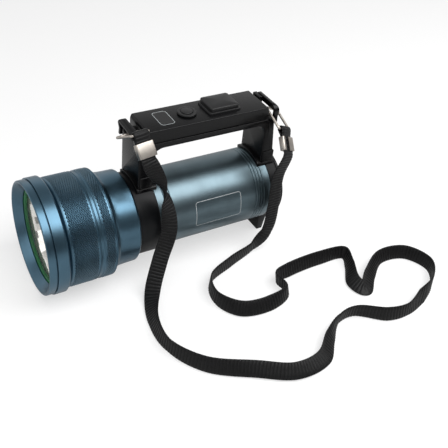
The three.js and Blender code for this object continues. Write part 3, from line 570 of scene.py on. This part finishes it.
def bed(start, end):
    """The profile of the shallow bed in which a knurled band lies."""
    return [(start - 2 * BED_SLOPE, HEAD_RADIUS), (start - BED_SLOPE, BED_RADIUS),
            (end + BED_SLOPE, BED_RADIUS), (end + 2 * BED_SLOPE, HEAD_RADIUS)]


def neck():
    """The profile of the neck: a taper with a hollow that is deepest near its front."""
    profile = []
    for i in range(NECK_STEPS + 1):
        share = i / NECK_STEPS
        straight = NECK_RADII[0] + (NECK_RADII[1] - NECK_RADII[0]) * share
        profile.append((NECK_FRONT + NECK_LENGTH * share,
                        straight - NECK_HOLLOW * math.sin(math.pi * math.sqrt(share))))
    return profile


def make_head():
    waist = HEAD_RADIUS - WAIST_DEPTH
    turned("head", [
        (HEAD_FRONT, HEAD_BORE), (HEAD_FRONT, SPIGOT_RADIUS), (STEP_AT, SPIGOT_RADIUS),
        (STEP_AT, STEP_RADIUS), (STEP_END, HEAD_RADIUS), *bed(*BANDS["front"]),
        (WAIST[0], HEAD_RADIUS), (WAIST[0] + WAIST_SLOPE, waist), (WAIST[1] - WAIST_SLOPE, waist),
        (WAIST[1], HEAD_RADIUS), *bed(*BANDS["rear"]), (BANDS_END, HEAD_RADIUS), *neck(),
        (HEAD_REAR, HEAD_EDGE), (HEAD_REAR, TUBE_RADIUS + SLIP), (TUBE_FRONT - SLIP, TUBE_RADIUS + SLIP),
        (TUBE_FRONT - SLIP, THROAT_RADIUS), (SINK_ROOM[1], THROAT_RADIUS), (SINK_ROOM[1], SINK_RADIUS),
        (SINK_ROOM[0], SINK_RADIUS), (SINK_ROOM[0], HEAD_BORE),
    ], "blue_anodised", sides=240, radius=0.25, node="head_housing")


make_head()

KNURL_PITCH = 1.4
KNURL_VALLEY = 40.7
KNURL_PEAK = 41.65
KNURL_SUNK = 0.05


def knurl(name, start, end):
    """A ring of fine diamonds, each a small pyramid, that sinks into its turned bed at both ends."""
    sides = 2 * round(math.pi * HEAD_RADIUS / KNURL_PITCH)
    rows = round((end - start) / (KNURL_PITCH / 2))
    points = []
    for j in range(-1, rows + 2):
        s = start + (end - start) * min(max(j, 0), rows) / rows
        for k in range(sides):
            if j < 2 or j > rows - 2:
                radius = BED_RADIUS - KNURL_SUNK
            else:
                radius = KNURL_VALLEY if (j + k) % 2 else KNURL_PEAK
            points.append(around(s, radius, TAU * k / sides))
    faces = []
    for i, (a, b, c, d) in enumerate(quads(rows + 3, sides, closed=True)):
        if (i // sides + i % sides) % 2:
            faces += [(a, d, b), (b, d, c)]
        else:
            faces += [(a, c, b), (a, d, c)]
    # The knurl's colour, paler and greyer than the head's, is painted light: it stands in for how the
    # diamonds catch the light.
    piece(name, points, faces, "knurl_painted_light_blue", slot="blue_anodised", smooth=False)


for band, ends in BANDS.items():
    knurl("knurl_" + band, *ends)

# Tube, with fine grooves near both ends and a thread for the rear collar and the cap
VEE_PITCH = 2.57
VEE_DEPTH = 0.7
VEE_HALF = 0.38
FRONT_VEES = (96.6, 3)
REAR_VEES = (174.49, 4)
TUBE_REAR = 195.7


def vees(start, count):
    """The profile of a row of fine V grooves in the tube."""
    profile = []
    for i in range(count):
        middle = start + VEE_PITCH * i
        profile += [(middle - VEE_HALF, TUBE_RADIUS), (middle, TUBE_RADIUS - VEE_DEPTH),
                    (middle + VEE_HALF, TUBE_RADIUS)]
    return profile


turned("tube", [
    (TUBE_FRONT, TUBE_BORE), (TUBE_FRONT, TUBE_RADIUS), *vees(*FRONT_VEES), *vees(*REAR_VEES),
    (TUBE_SHOULDER, TUBE_RADIUS), (TUBE_SHOULDER, THREAD_RADIUS), (TUBE_REAR, THREAD_RADIUS),
    (TUBE_REAR, TUBE_BORE),
], "tube_blue", sides=200, radius=0.12, node="body_tube", slot="blue_anodised")

# Front collar, between the head and the tube
COLLAR_FRONT = HEAD_REAR + SLIP
COLLAR_END = 90.2
COLLAR_RADIUS = 32.25
COLLAR_CHAMFERS = ((0.4, 0.35), (0.8, 0.85))


def make_front_collar():
    (front_run, front_drop), (rear_run, rear_drop) = COLLAR_CHAMFERS
    turned("collar_front", [
        (COLLAR_FRONT, TUBE_RADIUS + SLIP), (COLLAR_FRONT, COLLAR_RADIUS - front_drop),
        (COLLAR_FRONT + front_run, COLLAR_RADIUS), (COLLAR_END - rear_run, COLLAR_RADIUS),
        (COLLAR_END, COLLAR_RADIUS - rear_drop), (COLLAR_END, TUBE_RADIUS + SLIP),
    ], "black_anodised", sides=200, radius=0.3, node="front_collar")


make_front_collar()

# The printed frame of the label, which stays bare. It lies a hair inside the tube's surface at its foot.
LABEL_LOW = (120.5, 31.3)
LABEL_HIGH = (160.5, 52)
LABEL_SUNK = 0.03


def on_tube(s, arc, height):
    """A place on the tube, by its distance round from the top."""
    return around(s, TUBE_RADIUS - LABEL_SUNK + height, arc / TUBE_RADIUS)


outline_band("tube_frame_line", LABEL_LOW, LABEL_HIGH, corner=2.2, width=0.42, mapping=on_tube,
             slot="blue_anodised")

# Rear collar with its foot, and the tail cap with a coin slot and two turned rings
REAR_FRONT = TUBE_SHOULDER + SLIP
REAR_END = 197.4
REAR_EDGE = 0.4
FOOT_TOP = -24
FOOT_HALVES = (17, 13)
FOOT_LEAN = 3
CAP_FRONT = 189.7
CAP_REAR = 200.2
CAP_EDGE = 0.6
SLOT_DEPTH = 1.6
SLOT_HALF = (18, 4.5)
TURNED_RINGS = (20.4, 24.6)
TURNED_WIDTH = 1
TURNED_DEPTH = 0.5
OVERRUN = 1.8


def make_rear_collar():
    bore = THREAD_RADIUS + SLIP
    turned("collar_rear", [
        (REAR_FRONT, bore), (REAR_FRONT, TUBE_RADIUS - REAR_EDGE), (REAR_FRONT + REAR_EDGE, TUBE_RADIUS),
        (REAR_END - REAR_EDGE, TUBE_RADIUS), (REAR_END, TUBE_RADIUS - REAR_EDGE), (REAR_END, bore),
    ], "black_anodised", sides=200, radius=0.2, node="rear_collar")
    levels = ((FOOT_TOP, FOOT_HALVES[0], REAR_FRONT), (GROUND, FOOT_HALVES[1], REAR_FRONT + FOOT_LEAN))
    hulled("tail_foot", [(s, y, z) for z, half, front in levels for s in (front, REAR_END)
                         for y in (-half, half)], "black_anodised", edge=0.8)


def make_cap():
    spigot = TUBE_BORE - SLIP
    flange = REAR_END + SLIP
    past = CAP_REAR + OVERRUN
    cap = turned("cap", [
        (CAP_FRONT, CORE), (CAP_FRONT, spigot), (flange, spigot), (flange, TUBE_RADIUS),
        (CAP_REAR - CAP_EDGE, TUBE_RADIUS), (CAP_REAR, TUBE_RADIUS - CAP_EDGE), (CAP_REAR, CORE),
    ], "black_anodised", sides=160, radius=0.3, closed=False, node="tail_cap")
    long, wide = SLOT_HALF
    cut(cap, hulled("cutter", [(s, y, z) for s in (CAP_REAR - SLOT_DEPTH, past) for y in (-long, long)
                               for z in (-wide, wide)], "black_anodised", edge=0.6))
    floor = CAP_REAR - TURNED_DEPTH
    for inner in TURNED_RINGS:
        groove = rectangle(floor, past, inner, inner + TURNED_WIDTH)
        cut(cap, turned("cutter", groove, "black_anodised", radius=0.05))


make_rear_collar()
make_cap()

# Light: seal, glass and reflector
SEAL = (7.3, 9.7)
SEAL_RADII = (34.3, 37.7)
GLASS = (9.8, 10.6)
GLASS_RADIUS = 37.6
GLASS_EDGE = 0.2
turned("mouth_seal", rectangle(*SEAL, *SEAL_RADII), "green_seal", sides=160, radius=0.7, node="lens_seal")
turned("glass", [
    (GLASS[0], GLASS_EDGE), (GLASS[0], GLASS_RADIUS - GLASS_EDGE), (GLASS[0] + GLASS_EDGE, GLASS_RADIUS),
    (GLASS[1] - GLASS_EDGE, GLASS_RADIUS), (GLASS[1], GLASS_RADIUS - GLASS_EDGE), (GLASS[1], GLASS_EDGE),
], "clear_glass", sides=120, radius=0.1, closed=False, node="lens")

MIRROR_FRONT = 12.32
MIRROR_DEPTH = 27.18
MIRROR_RADIUS = 35.1
MIRROR_HOLE = 5.6
MIRROR_LEAN = 1.1
WEDGES = 38
WEDGE_ROWS = 14
WEDGE_SEED = 11
ROW_SPREAD = 1.4
RIM_FRONT = 10.7
RIM_RADII = (37.2, 37.4)
RIM_REAR = 12.48
MIRROR_BACK = ((40.6, 6), (26, 27), (14.5, 35.8), (RIM_REAR, 35.8))


def mirror_bowl():
    """A polished bowl in narrow wedges. Each leans its own way, so that reflections break into streaks."""
    draw = random.Random(WEDGE_SEED)
    leans = [draw.uniform(-MIRROR_LEAN, MIRROR_LEAN) for _ in range(WEDGES)]
    rings = [[(RIM_FRONT, RIM_RADII[0])] * WEDGES]
    spread = (MIRROR_RADIUS ** 2 - MIRROR_HOLE ** 2) / MIRROR_DEPTH
    for i in range(WEDGE_ROWS + 1):
        depth = MIRROR_DEPTH * (i / WEDGE_ROWS) ** ROW_SPREAD
        radius = math.sqrt(MIRROR_HOLE ** 2 + spread * (MIRROR_DEPTH - depth))
        swell = math.sin(math.pi * i / WEDGE_ROWS) ** 0.5
        rings.append([(MIRROR_FRONT + depth, radius + lean * swell) for lean in leans])
    rings += [[at] * WEDGES for at in (*MIRROR_BACK, (RIM_REAR, RIM_RADII[1]), (RIM_FRONT, RIM_RADII[1]))]
    points = [around(s, r, TAU * k / WEDGES) for ring in rings for k, (s, r) in enumerate(ring)]
    made = piece("mirror", points, quads(len(rings), WEDGES, closed=True), "polished_reflector",
                 node="reflector")
    for edge in made.data.edges:
        a, b = edge.vertices
        edge.use_edge_sharp = edge.use_edge_sharp or a % WEDGES == b % WEDGES


mirror_bowl()

# Handle: a base with two legs, seated round the collars, and its cover
HALF_WIDTH = 14.6
GRIP_FRONT = 77.5
OPENING = (89.5, 184)
UNDERSIDE = 63.3
OPENING_CORNER = 6
CORNER_SETBACK = 1.8
LEG_FOOT = 22
GRIP_TOP = 68
GRIP_REAR = 191.5
LEG_REAR = 196
SEATS = {"front": (75, 93, 35.25), "rear": (182, 199, 33)}
COVER = (83.2, 185.8)
COVER_TOP = 78.6
COVER_BEVELS = ((1.2, 2.6), (1.4, 3))
BOSSES = {"front": 83.5, "rear": 190}
BOSS_HALF = 5.2
BOSS_HEIGHT = 9.5
BOSS_SIDES = (12.9, 15.5)
BEAD = (85.6, 187.8)
BEAD_HEIGHTS = (52, 67.6)
BEAD_CORNER = 5.5
BEAD_RADIUS = 0.38
SIDES = {"left": -1, "right": 1}


def make_grip():
    front, rear = OPENING
    shoulder = UNDERSIDE - OPENING_CORNER
    corner = UNDERSIDE - CORNER_SETBACK
    base = slab("grip", [
        (GRIP_FRONT, LEG_FOOT), (front, LEG_FOOT), (front, shoulder), (front + CORNER_SETBACK, corner),
        (front + OPENING_CORNER, UNDERSIDE), (rear - OPENING_CORNER, UNDERSIDE),
        (rear - CORNER_SETBACK, corner), (rear, shoulder), (rear, LEG_FOOT), (LEG_REAR, LEG_FOOT),
        (GRIP_REAR, GRIP_TOP), (GRIP_FRONT, GRIP_TOP),
    ], -HALF_WIDTH, HALF_WIDTH, "black_plastic", edge=0.45, rounding=1.6, node="handle_base")
    for start, end, seat in SEATS.values():
        room = [(start, CORE), (start, seat), (end, seat), (end, CORE)]
        cut(base, turned("cutter", room, "black_plastic", sides=128, radius=0.05, closed=False))


def make_cover():
    front, rear = COVER
    foot = GRIP_TOP + SLIP
    (front_run, front_drop), (rear_run, rear_drop) = COVER_BEVELS
    slab("cover", [
        (front, foot), (rear, foot), (rear, COVER_TOP - rear_drop), (rear - rear_run, COVER_TOP),
        (front + front_run, COVER_TOP), (front, COVER_TOP - front_drop),
    ], -HALF_WIDTH, HALF_WIDTH, "black_plastic", edge=0.8, rounding=0.8, steps=5, node="handle_cover")


def make_bosses():
    """A boss on each side of each leg, seated on the same round as the leg."""
    for end, s in BOSSES.items():
        foot = math.sqrt(SEATS[end][2] ** 2 - BOSS_SIDES[1] ** 2)
        outline = rectangle(s - BOSS_HALF, s + BOSS_HALF, foot, foot + BOSS_HEIGHT)
        for side, sign in SIDES.items():
            y0, y1 = sorted(sign * y for y in BOSS_SIDES)
            slab(f"boss_{round(s)}_{side}", outline, y0, y1, "black_plastic", edge=0.5, rounding=0.8)


def make_beads():
    """A thin round bead over the opening, on each side of the handle."""
    (front, rear), (low, high) = BEAD, BEAD_HEIGHTS
    arch = [(front, low), (front, high), (rear, high), (rear, low)]
    line = eased(arch, BEAD_CORNER, closed=False, steps=8)
    across = Vector((0, 1, 0))
    for side, sign in SIDES.items():
        stations = []
        for before, here, after in zip(line[:1] + line, line, line[1:] + line[-1:]):
            along = Vector((after.x - before.x, 0, after.y - before.y)).normalized()
            stations.append((place(here.x, sign * HALF_WIDTH, here.y), across, along.cross(across)))
        swept("grip_bead_" + side, stations, circle(BEAD_RADIUS, sides=12), "black_plastic")


make_grip()
make_cover()
make_bosses()
make_beads()
for node in ("front_saddle", "rear_saddle"):
    dressed(node, "black_plastic", width=0.3)
for node in ("front_ear", "rear_ear"):
    dressed(node, "black_plastic", width=0.45)
EAR_WEB = (187.4, 190.8)
EAR_WEB_HEIGHTS = (66, 77.6)
EAR_WEB_SIDES = (3.4, 12.6)
slab("rear_ear_web", rectangle(*EAR_WEB, *EAR_WEB_HEIGHTS), *EAR_WEB_SIDES, "black_plastic", edge=0.3,
     rounding=0.5)

# On the cover: the gauge window with its printed line, the charge port and the button
WINDOW = (97.4, 108.5)
WINDOW_HALF = 9.1
WINDOW_CORNER = 2.4
LINE_MARGIN = 0.1
PRINT_LIFT = 0.02


def on_top(s, y, height):
    """A place on the top of the handle's cover."""
    return place(s, y, COVER_TOP + PRINT_LIFT + height)


plate("window_pane", *WINDOW, half=WINDOW_HALF, z0=COVER_TOP - 1.2, z1=COVER_TOP + 0.06,
      corner=WINDOW_CORNER, finish="smoked_window", edge=0.05, node="gauge_window")
outline_band("window_line", (WINDOW[0] - LINE_MARGIN, -WINDOW_HALF - LINE_MARGIN),
             (WINDOW[1] + LINE_MARGIN, WINDOW_HALF + LINE_MARGIN), corner=WINDOW_CORNER + LINE_MARGIN,
             width=0.34, mapping=on_top, slot="smoked_window")
plate("port_rim", s0=136.6, s1=163.5, half=10.2, z0=78.4, z1=80, corner=2, finish="grey_plastic",
      edge=0.4, aside=1, node="port_frame")
plate("port_cover", s0=138.2, s1=161.9, half=9.6, z0=80.3, z1=83.1, corner=1.8, finish="black_rubber",
      edge=0.9, steps=5, crown=0.9, aside=1.4, body="port_flap", node="port_flap")
dressed("button_ring", "black_rubber", width=0.35)
dressed("power_button", "black_rubber", width=0.5, body="power_button")

# Rings: where each is held in its ear, how it turns and rolls with the ear, how far it drops and its
# webbing leans, and on which face its clamp has its seam, the near (-1) or the far (1)
RINGS = {
    "front": {"at": (72.5, -2.2, 72.5), "turn": 10, "roll": 0, "drop": -30.8, "lean": 36, "seam": 1},
    "rear": {"at": (194.6, -5, 70.5), "turn": 14, "roll": 26, "drop": 26, "lean": 40, "seam": -1},
}
RING_LENGTH = 20.5
RING_WIDTH = 14.8
RING_CORNER = 1.6
RING_STEPS = 6
WIRE = 1.0

# Webbing: its width and thickness, and its ribs
WEB_HALF = 6.0
WEB_THICK = 0.75
WEB_EDGE_SHARES = ((1, 0.3), (0.95, 0.7), (0.88, 1), (0.3, 1))
RIB = 2.5
RIB_STEPS = 8
RIB_SHARE = 0.72

# The webbing's loop round the ring, down from the wire: two layers that part above the clamp
LOOP_HALF_GAP = 0.66
LOOP_REACH = 1.95
LOOP_FOOT = -16.6
LOOP_THICK = 0.62
LOOP_STEPS = 12
LAYER_STEPS = 30

# The clamp: a folded plate with its halves, corners and seam, and its ends a little drawn in
CLAMP_TOP = -6.5
CLAMP_FOOT = -17.2
CLAMP_EDGE = 0.25
CLAMP_DRAWN = 0.98
CLAMP_SHELLS = ((7.1, 2.4, 1.1), (6.3, 1.6, 0.5))
SEAM = (-4.6, 0.4)


def leaning(turn, roll, pitch):
    """The rotation of something pitched, rolled and then turned by these degrees."""
    return (Matrix.Rotation(math.radians(turn), 3, "Z") @ Matrix.Rotation(math.radians(roll), 3, "Y")
            @ Matrix.Rotation(math.radians(pitch), 3, "X"))


def hanging(end):
    """The place where the webbing hangs on a ring, and how the ring and the webbing lean."""
    facts = RINGS[end]
    lean_ring = leaning(facts["turn"], facts["roll"], facts["drop"])
    lean_web = leaning(facts["turn"], facts["roll"], -facts["lean"])
    return Vector(facts["at"]) + lean_ring @ Vector((0, -RING_LENGTH, 0)), lean_ring, lean_web


def rib(run):
    """How thick the webbing is at a run along it, as a share: round ribs with narrow furrows."""
    wave = abs(math.sin(math.pi * run / RIB))
    return 1 - RIB_SHARE + RIB_SHARE * math.sqrt(wave)


def band_section(thick):
    """Webbing across its width: flat faces that thin out to a woven edge."""
    side = [(-WEB_HALF * a, b) for a, b in WEB_EDGE_SHARES]
    side += [(WEB_HALF * a, b) for a, b in reversed(WEB_EDGE_SHARES)]
    return [(a, -b * thick) for a, b in side] + [(a, b * thick) for a, b in reversed(side)]


def clamp_section(seam):
    """A folded plate round the webbing, open in a seam on one face."""
    shells = []
    for half_x, half_y, corner in CLAMP_SHELLS:
        loop = rounded_box(half_x, half_y, corner)
        last_corner = len(loop) * 3 // 4
        loop = loop[last_corner:] + loop[:last_corner]
        shells.append([(SEAM[1], -half_y)] + loop + [(SEAM[0], -half_y)])
    return [(x, -seam * y) for x, y in shells[0] + shells[1][::-1]]


def make_wire(end):
    """The ring of wire, round its four corners."""
    hangs_at, lean_ring, _ = hanging(end)
    wide = RING_WIDTH / 2 - RING_CORNER
    far = RING_LENGTH - RING_CORNER
    stations = []
    corners = ((wide, RING_CORNER, -90), (wide, far, 0), (-wide, far, 90), (-wide, RING_CORNER, 180))
    for cx, cy, start in corners:
        for k in range(RING_STEPS + 1):
            angle = math.radians(start + 90 * k / RING_STEPS)
            side = Vector((math.cos(angle), math.sin(angle), 0))
            at = hangs_at + lean_ring @ (side * RING_CORNER + Vector((cx, cy, 0)))
            stations.append((place(*at), lean_ring @ side, lean_ring @ Vector((0, 0, 1))))
    body = end + "_ring"
    swept(end + "_wire", stations, circle(WIRE), "warm_steel", closed=True, body=body, node=body)


def loop_line():
    """The webbing's middle line round the wire, as (y, z) points, up one layer and down the other."""
    rise = CLAMP_TOP - LOOP_FOOT
    line = [(LOOP_HALF_GAP, LOOP_FOOT + rise * k / LAYER_STEPS) for k in range(LAYER_STEPS + 1)]
    for k in range(1, LOOP_STEPS):
        t = k / LOOP_STEPS
        ease = t * t * (3 - 2 * t)
        line.append((LOOP_HALF_GAP + (LOOP_REACH - LOOP_HALF_GAP) * ease, CLAMP_TOP * (1 - t)))
    down = [(-y, z) for y, z in reversed(line)]
    for k in range(LOOP_STEPS + 1):
        angle = math.pi * k / LOOP_STEPS
        line.append((LOOP_REACH * math.cos(angle), LOOP_REACH * math.sin(angle)))
    return line + down


def make_loop(end):
    """The end of the webbing, doubled through the ring, with its ribs."""
    hangs_at, _, lean_web = hanging(end)
    line = loop_line()
    stations = []
    run = 0
    for (y0, z0), (y1, z1) in zip(line, line[1:]):
        length = math.hypot(y1 - y0, z1 - z0)
        normal = lean_web @ Vector((0, -(z1 - z0) / length, (y1 - y0) / length))
        parts = max(1, round(length / (RIB / RIB_STEPS)))
        for k in range(parts):
            t = k / parts
            at = hangs_at + lean_web @ Vector((0, y0 + (y1 - y0) * t, z0 + (z1 - z0) * t))
            stations.append((place(*at), lean_web @ Vector((1, 0, 0)), normal, rib(run + length * t)))
        run += length
    swept(end + "_webbing_loop", stations, band_section(LOOP_THICK), "black_webbing", body=end + "_ring",
          node=end + "_strap_end")


def make_clamp(end):
    """The metal clamp that holds both layers of the webbing."""
    hangs_at, _, lean_web = hanging(end)
    stations = []
    for z, drawn in ((CLAMP_FOOT, CLAMP_DRAWN), (CLAMP_FOOT + CLAMP_EDGE, 1), (CLAMP_TOP - CLAMP_EDGE, 1),
                     (CLAMP_TOP, CLAMP_DRAWN)):
        stations.append((place(*(hangs_at + lean_web @ Vector((0, 0, z)))),
                         lean_web @ Vector((1, 0, 0)) * drawn, lean_web @ Vector((0, drawn, 0))))
    swept(end + "_clamp", stations, clamp_section(RINGS[end]["seam"]), "warm_steel", body=end + "_ring",
          node=end + "_crimp")


for end in RINGS:
    make_wire(end)
    make_loop(end)
    make_clamp(end)

# The free webbing, laid between the clamps: distance behind the lip, side, height of its middle
# over the ground, and where its upper edge points, as degrees round from +X and degrees up
STRAP_ROUTE = [
    (84.6, -33.9, 94, 135, 0),
    (90.4, -35.4, 75, 30, 0),
    (92.6, -38.3, 50, -33, 0),
    (85, -41.2, 26.5, -33, 3),
    (74.5, -51.5, 6.8, -25, 12),
    (63, -78, 5.8, -6, 60),
    (62, -104, 6.6, 12, 84),
    (77, -129, 6.4, 44, 70),
    (107, -147.5, 5.8, 58, 48),
    (132, -160.5, 5.3, 78, 40),
    (157, -158, 4.3, 118, 28),
    (172, -145, 5.3, 134, 50),
    (188, -134, 6.6, 115, 94),
    (204, -132.5, 6.6, 74, 94),
    (226, -146, 6.5, 64, 76),
    (243, -148.5, 6.6, 92, 82),
    (264, -141.5, 6, 113, 60),
    (283, -132.5, 6.6, 138, 88),
    (295.5, -115.5, 6.6, 170, 100),
    (287, -95.5, 6.4, 237, 110),
    (264, -91, 6.1, 272, 118),
    (243, -103.5, 4.9, 310, 140),
    (230, -114, 3, 262, 158),
    (225.5, -104.5, 4.8, 180, 140),
    (233.5, -88, 6.3, 152, 112),
    (238, -75, 6.6, 200, 100),
    (215, -71.5, 6.3, 272, 112),
    (184, -73, 6.2, 276, 116),
    (169.5, -77, 6.6, 330, 100),
    (170, -92, 6.5, 345, 104),
    (151, -98, 5.9, 282, 124),
    (127, -94, 6, 236, 122),
    (115.5, -77, 6.6, 178, 98),
    (121, -58, 6.6, 140, 94),
    (146, -46, 6.5, 116, 88),
    (170.5, -38.2, 7.5, 104, 98),
    (183.8, -37, 19, 180, 62),
    (186.6, -37, 46, 184, 14),
    (187.6, -35.6, 71, 184, 12),
]
CLAMPED_EDGE = {"front": (190, 0), "rear": (194, 24)}
IN_CLAMP = 13
UNDER_CLAMP = 20


def clamped(end, depth):
    """The knot inside or below the clamp of a ring, this far from the wire."""
    hangs_at, _, lean_web = hanging(end)
    return place(*(hangs_at + lean_web @ Vector((0, 0, -depth)))), CLAMPED_EDGE[end]


def knots():
    """The points that the free webbing passes, with where its upper edge points at each."""
    laid = []
    for s, y, z, heading, rise in STRAP_ROUTE:
        laid.append((Vector((LIP_X + s * MM, y * MM, z * MM)), (heading, rise)))
    front = [clamped("front", depth) for depth in (IN_CLAMP, UNDER_CLAMP)]
    rear = [clamped("rear", depth) for depth in (UNDER_CLAMP, IN_CLAMP)]
    return front + laid + rear


KNOTS = knots()


def route_point(way):
    """The place and direction at a way counted in knots, on a centripetal curve through them all."""
    last = len(KNOTS) - 1
    i = min(int(way), last - 1)
    t = way - i
    p1, p2 = KNOTS[i][0], KNOTS[i + 1][0]
    p0 = KNOTS[i - 1][0] if i > 0 else p1 * 2 - p2
    p3 = KNOTS[i + 2][0] if i + 2 <= last else p2 * 2 - p1
    d0, d1, d2 = (math.sqrt((b - a).length) for a, b in ((p0, p1), (p1, p2), (p2, p3)))
    m1 = ((p1 - p0) / d0 - (p2 - p0) / (d0 + d1) + (p2 - p1) / d1) * d1
    m2 = ((p2 - p1) / d1 - (p3 - p1) / (d1 + d2) + (p3 - p2) / d2) * d1
    c2 = p2 * 3 - p1 * 3 - m1 * 2 - m2
    c3 = p1 * 2 - p2 * 2 + m1 + m2
    return p1 + m1 * t + c2 * t * t + c3 * t ** 3, (m1 + c2 * 2 * t + c3 * 3 * t * t).normalized()


def strap_station(way, run):
    """The webbing's place, side, normal and thickness at a way in knots and a run in metres."""
    at, along = route_point(way)
    i = min(int(way), len(KNOTS) - 2)
    edges = zip(KNOTS[i][1], KNOTS[i + 1][1])
    heading, rise = (math.radians(a + (b - a) * (way - i)) for a, b in edges)
    side = Vector((math.cos(heading) * math.cos(rise), math.sin(heading) * math.cos(rise), math.sin(rise)))
    side = (side - along * side.dot(along)).normalized()
    return at, side, along.cross(side).normalized(), rib(run / MM)


def strap_stations():
    """Stations an even step apart along the whole route."""
    steps = 60
    ways = [k / steps for k in range((len(KNOTS) - 1) * steps + 1)]
    places = [route_point(way)[0] for way in ways]
    runs = [0.0]
    for a, b in zip(places, places[1:]):
        runs.append(runs[-1] + (b - a).length)
    length = runs[-1]
    count = round(length / MM / (RIB / RIB_STEPS))
    stations = []
    k = 0
    for i in range(count + 1):
        run = length * i / count
        while k < len(runs) - 2 and runs[k + 1] < run:
            k += 1
        share = (run - runs[k]) / (runs[k + 1] - runs[k])
        stations.append(strap_station(ways[k] + (ways[k + 1] - ways[k]) * share, run))
    return stations


# The last of the webbing, under the rear clamp, is a piece of its own.
LEAD = 90


def free_webbing(name, line, node=None):
    """A free length of webbing along a line of stations, riding on no body."""
    made = swept(name, line, band_section(WEB_THICK), "black_webbing", body=None, node=node)
    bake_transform(made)


def make_strap():
    stations = strap_stations()
    split = len(stations) - 1 - round(LEAD / RIB) * RIB_STEPS
    free_webbing("strap_webbing", stations[:split + 1], node="strap")
    free_webbing("strap_lead", stations[split:][::-1])


make_strap()

# The nodes that stay take the finish that their slot names.
for part in frame["record"]["subparts"]:
    mesh = frame["nodes"][part["node"]].data
    mesh.materials.clear()
    mesh.materials.append(FINISHES[part["material_slot"]])

# Floor and light. Lengths are in metres from here on.
FLOOR_REACH = 3
FLOOR_DROP = 0.0003
FLOOR_GREY = 0.62
FLOOR_ROUGHNESS = 0.9
FLOOR_WHITE = 1.8
FLOOR_SEEN = (0.32, 0.06)
BACKDROP_SEEN = (1, 0.03)

# How bright the studio is from its near side to its far side, and from low to high
STUDIO = {"Y": ((-0.2, 0.24), (0.1, 0.85)), "Z": ((0.3, 0.8), (1.0, 0.4))}


def combined(tree, operation, first, second):
    """A math node over a link and a second link or a number."""
    node = tree.nodes.new("ShaderNodeMath")
    node.operation = operation
    tree.links.new(first, node.inputs[0])
    if isinstance(second, (int, float)):
        node.inputs[1].default_value = second
    else:
        tree.links.new(second, node.inputs[1])
    return node.outputs[0]


def seen_share(tree, direct, mirrored):
    """How white the backdrop is made: for what is seen directly or through glass, and for reflections."""
    path = tree.nodes.new("ShaderNodeLightPath")
    seen = combined(tree, "MAXIMUM", path.outputs["Is Camera Ray"], path.outputs["Is Transmission Ray"])
    return combined(tree, "MAXIMUM", combined(tree, "MULTIPLY", seen, direct),
                    combined(tree, "MULTIPLY", path.outputs["Is Glossy Ray"], mirrored))


def whiten(tree, lit, white, shares, surface):
    """Mixes white into a lit shader by its shares, and leads the mix to the surface."""
    mix = tree.nodes.new("ShaderNodeMixShader")
    tree.links.new(seen_share(tree, *shares), mix.inputs["Fac"])
    tree.links.new(lit.outputs[0], mix.inputs[1])
    tree.links.new(white.outputs[0], mix.inputs[2])
    tree.links.new(mix.outputs[0], surface)


def make_floor():
    mesh = bpy.data.meshes.new("floor")
    square = ((-1, -1), (1, -1), (1, 1), (-1, 1))
    corners = [(x * FLOOR_REACH, y * FLOOR_REACH, -FLOOR_DROP) for x, y in square]
    mesh.from_pydata(corners, [], [(0, 1, 2, 3)])
    floor = added("floor", mesh)
    material = bpy.data.materials.new("floor")
    material.use_nodes = True
    tree = material.node_tree
    shader = tree.nodes["Principled BSDF"]
    shader.inputs["Base Color"].default_value = (FLOOR_GREY, FLOOR_GREY, FLOOR_GREY, 1)
    shader.inputs["Roughness"].default_value = FLOOR_ROUGHNESS
    shader.inputs["Specular IOR Level"].default_value = 0
    white = tree.nodes.new("ShaderNodeEmission")
    white.inputs["Strength"].default_value = FLOOR_WHITE
    whiten(tree, shader, white, FLOOR_SEEN, tree.nodes["Material Output"].inputs["Surface"])
    mesh.materials.append(material)


def make_world():
    """A white backdrop, and the light of a studio with a bright far side, dim near side and ceiling."""
    world = bpy.data.worlds.new("studio")
    bpy.context.scene.world = world
    world.use_nodes = True
    tree = world.node_tree
    tree.nodes.clear()
    split = tree.nodes.new("ShaderNodeSeparateXYZ")
    tree.links.new(tree.nodes.new("ShaderNodeTexCoord").outputs["Generated"], split.inputs[0])
    levels = []
    for axis, (reach, brightness) in STUDIO.items():
        spread = tree.nodes.new("ShaderNodeMapRange")
        spread.interpolation_type = "SMOOTHSTEP"
        spread.inputs["From Min"].default_value, spread.inputs["From Max"].default_value = reach
        spread.inputs["To Min"].default_value, spread.inputs["To Max"].default_value = brightness
        tree.links.new(split.outputs[axis], spread.inputs["Value"])
        levels.append(spread.outputs["Result"])
    studio = tree.nodes.new("ShaderNodeBackground")
    white = tree.nodes.new("ShaderNodeBackground")
    for background in (studio, white):
        background.inputs["Color"].default_value = (1, 1, 1, 1)
    tree.links.new(combined(tree, "MULTIPLY", *levels), studio.inputs["Strength"])
    surface = tree.nodes.new("ShaderNodeOutputWorld").inputs["Surface"]
    whiten(tree, studio, white, BACKDROP_SEEN, surface)


def lamp(name, spot, aim, size, power):
    """A soft rectangular light that the camera doesn't see."""
    data = bpy.data.lights.new(name, "AREA")
    data.shape = "RECTANGLE"
    data.size, data.size_y = size
    data.energy = power
    made = added(name, data)
    made.location = spot
    made.visible_camera = False
    made.rotation_mode = "QUATERNION"
    made.rotation_quaternion = (Vector(aim) - Vector(spot)).to_track_quat("-Z", "Y")


make_floor()
make_world()
lamp("key", spot=(0.44, -0.52, 1), aim=(0.44, -0.52, 0), size=(1.35, 0.85), power=18)
lamp("fill", spot=(-0.95, -0.4, 0.72), aim=(-0.15, -0.02, 0), size=(1.3, 0.9), power=5)
bpy.context.scene.view_settings.view_transform = "Standard"
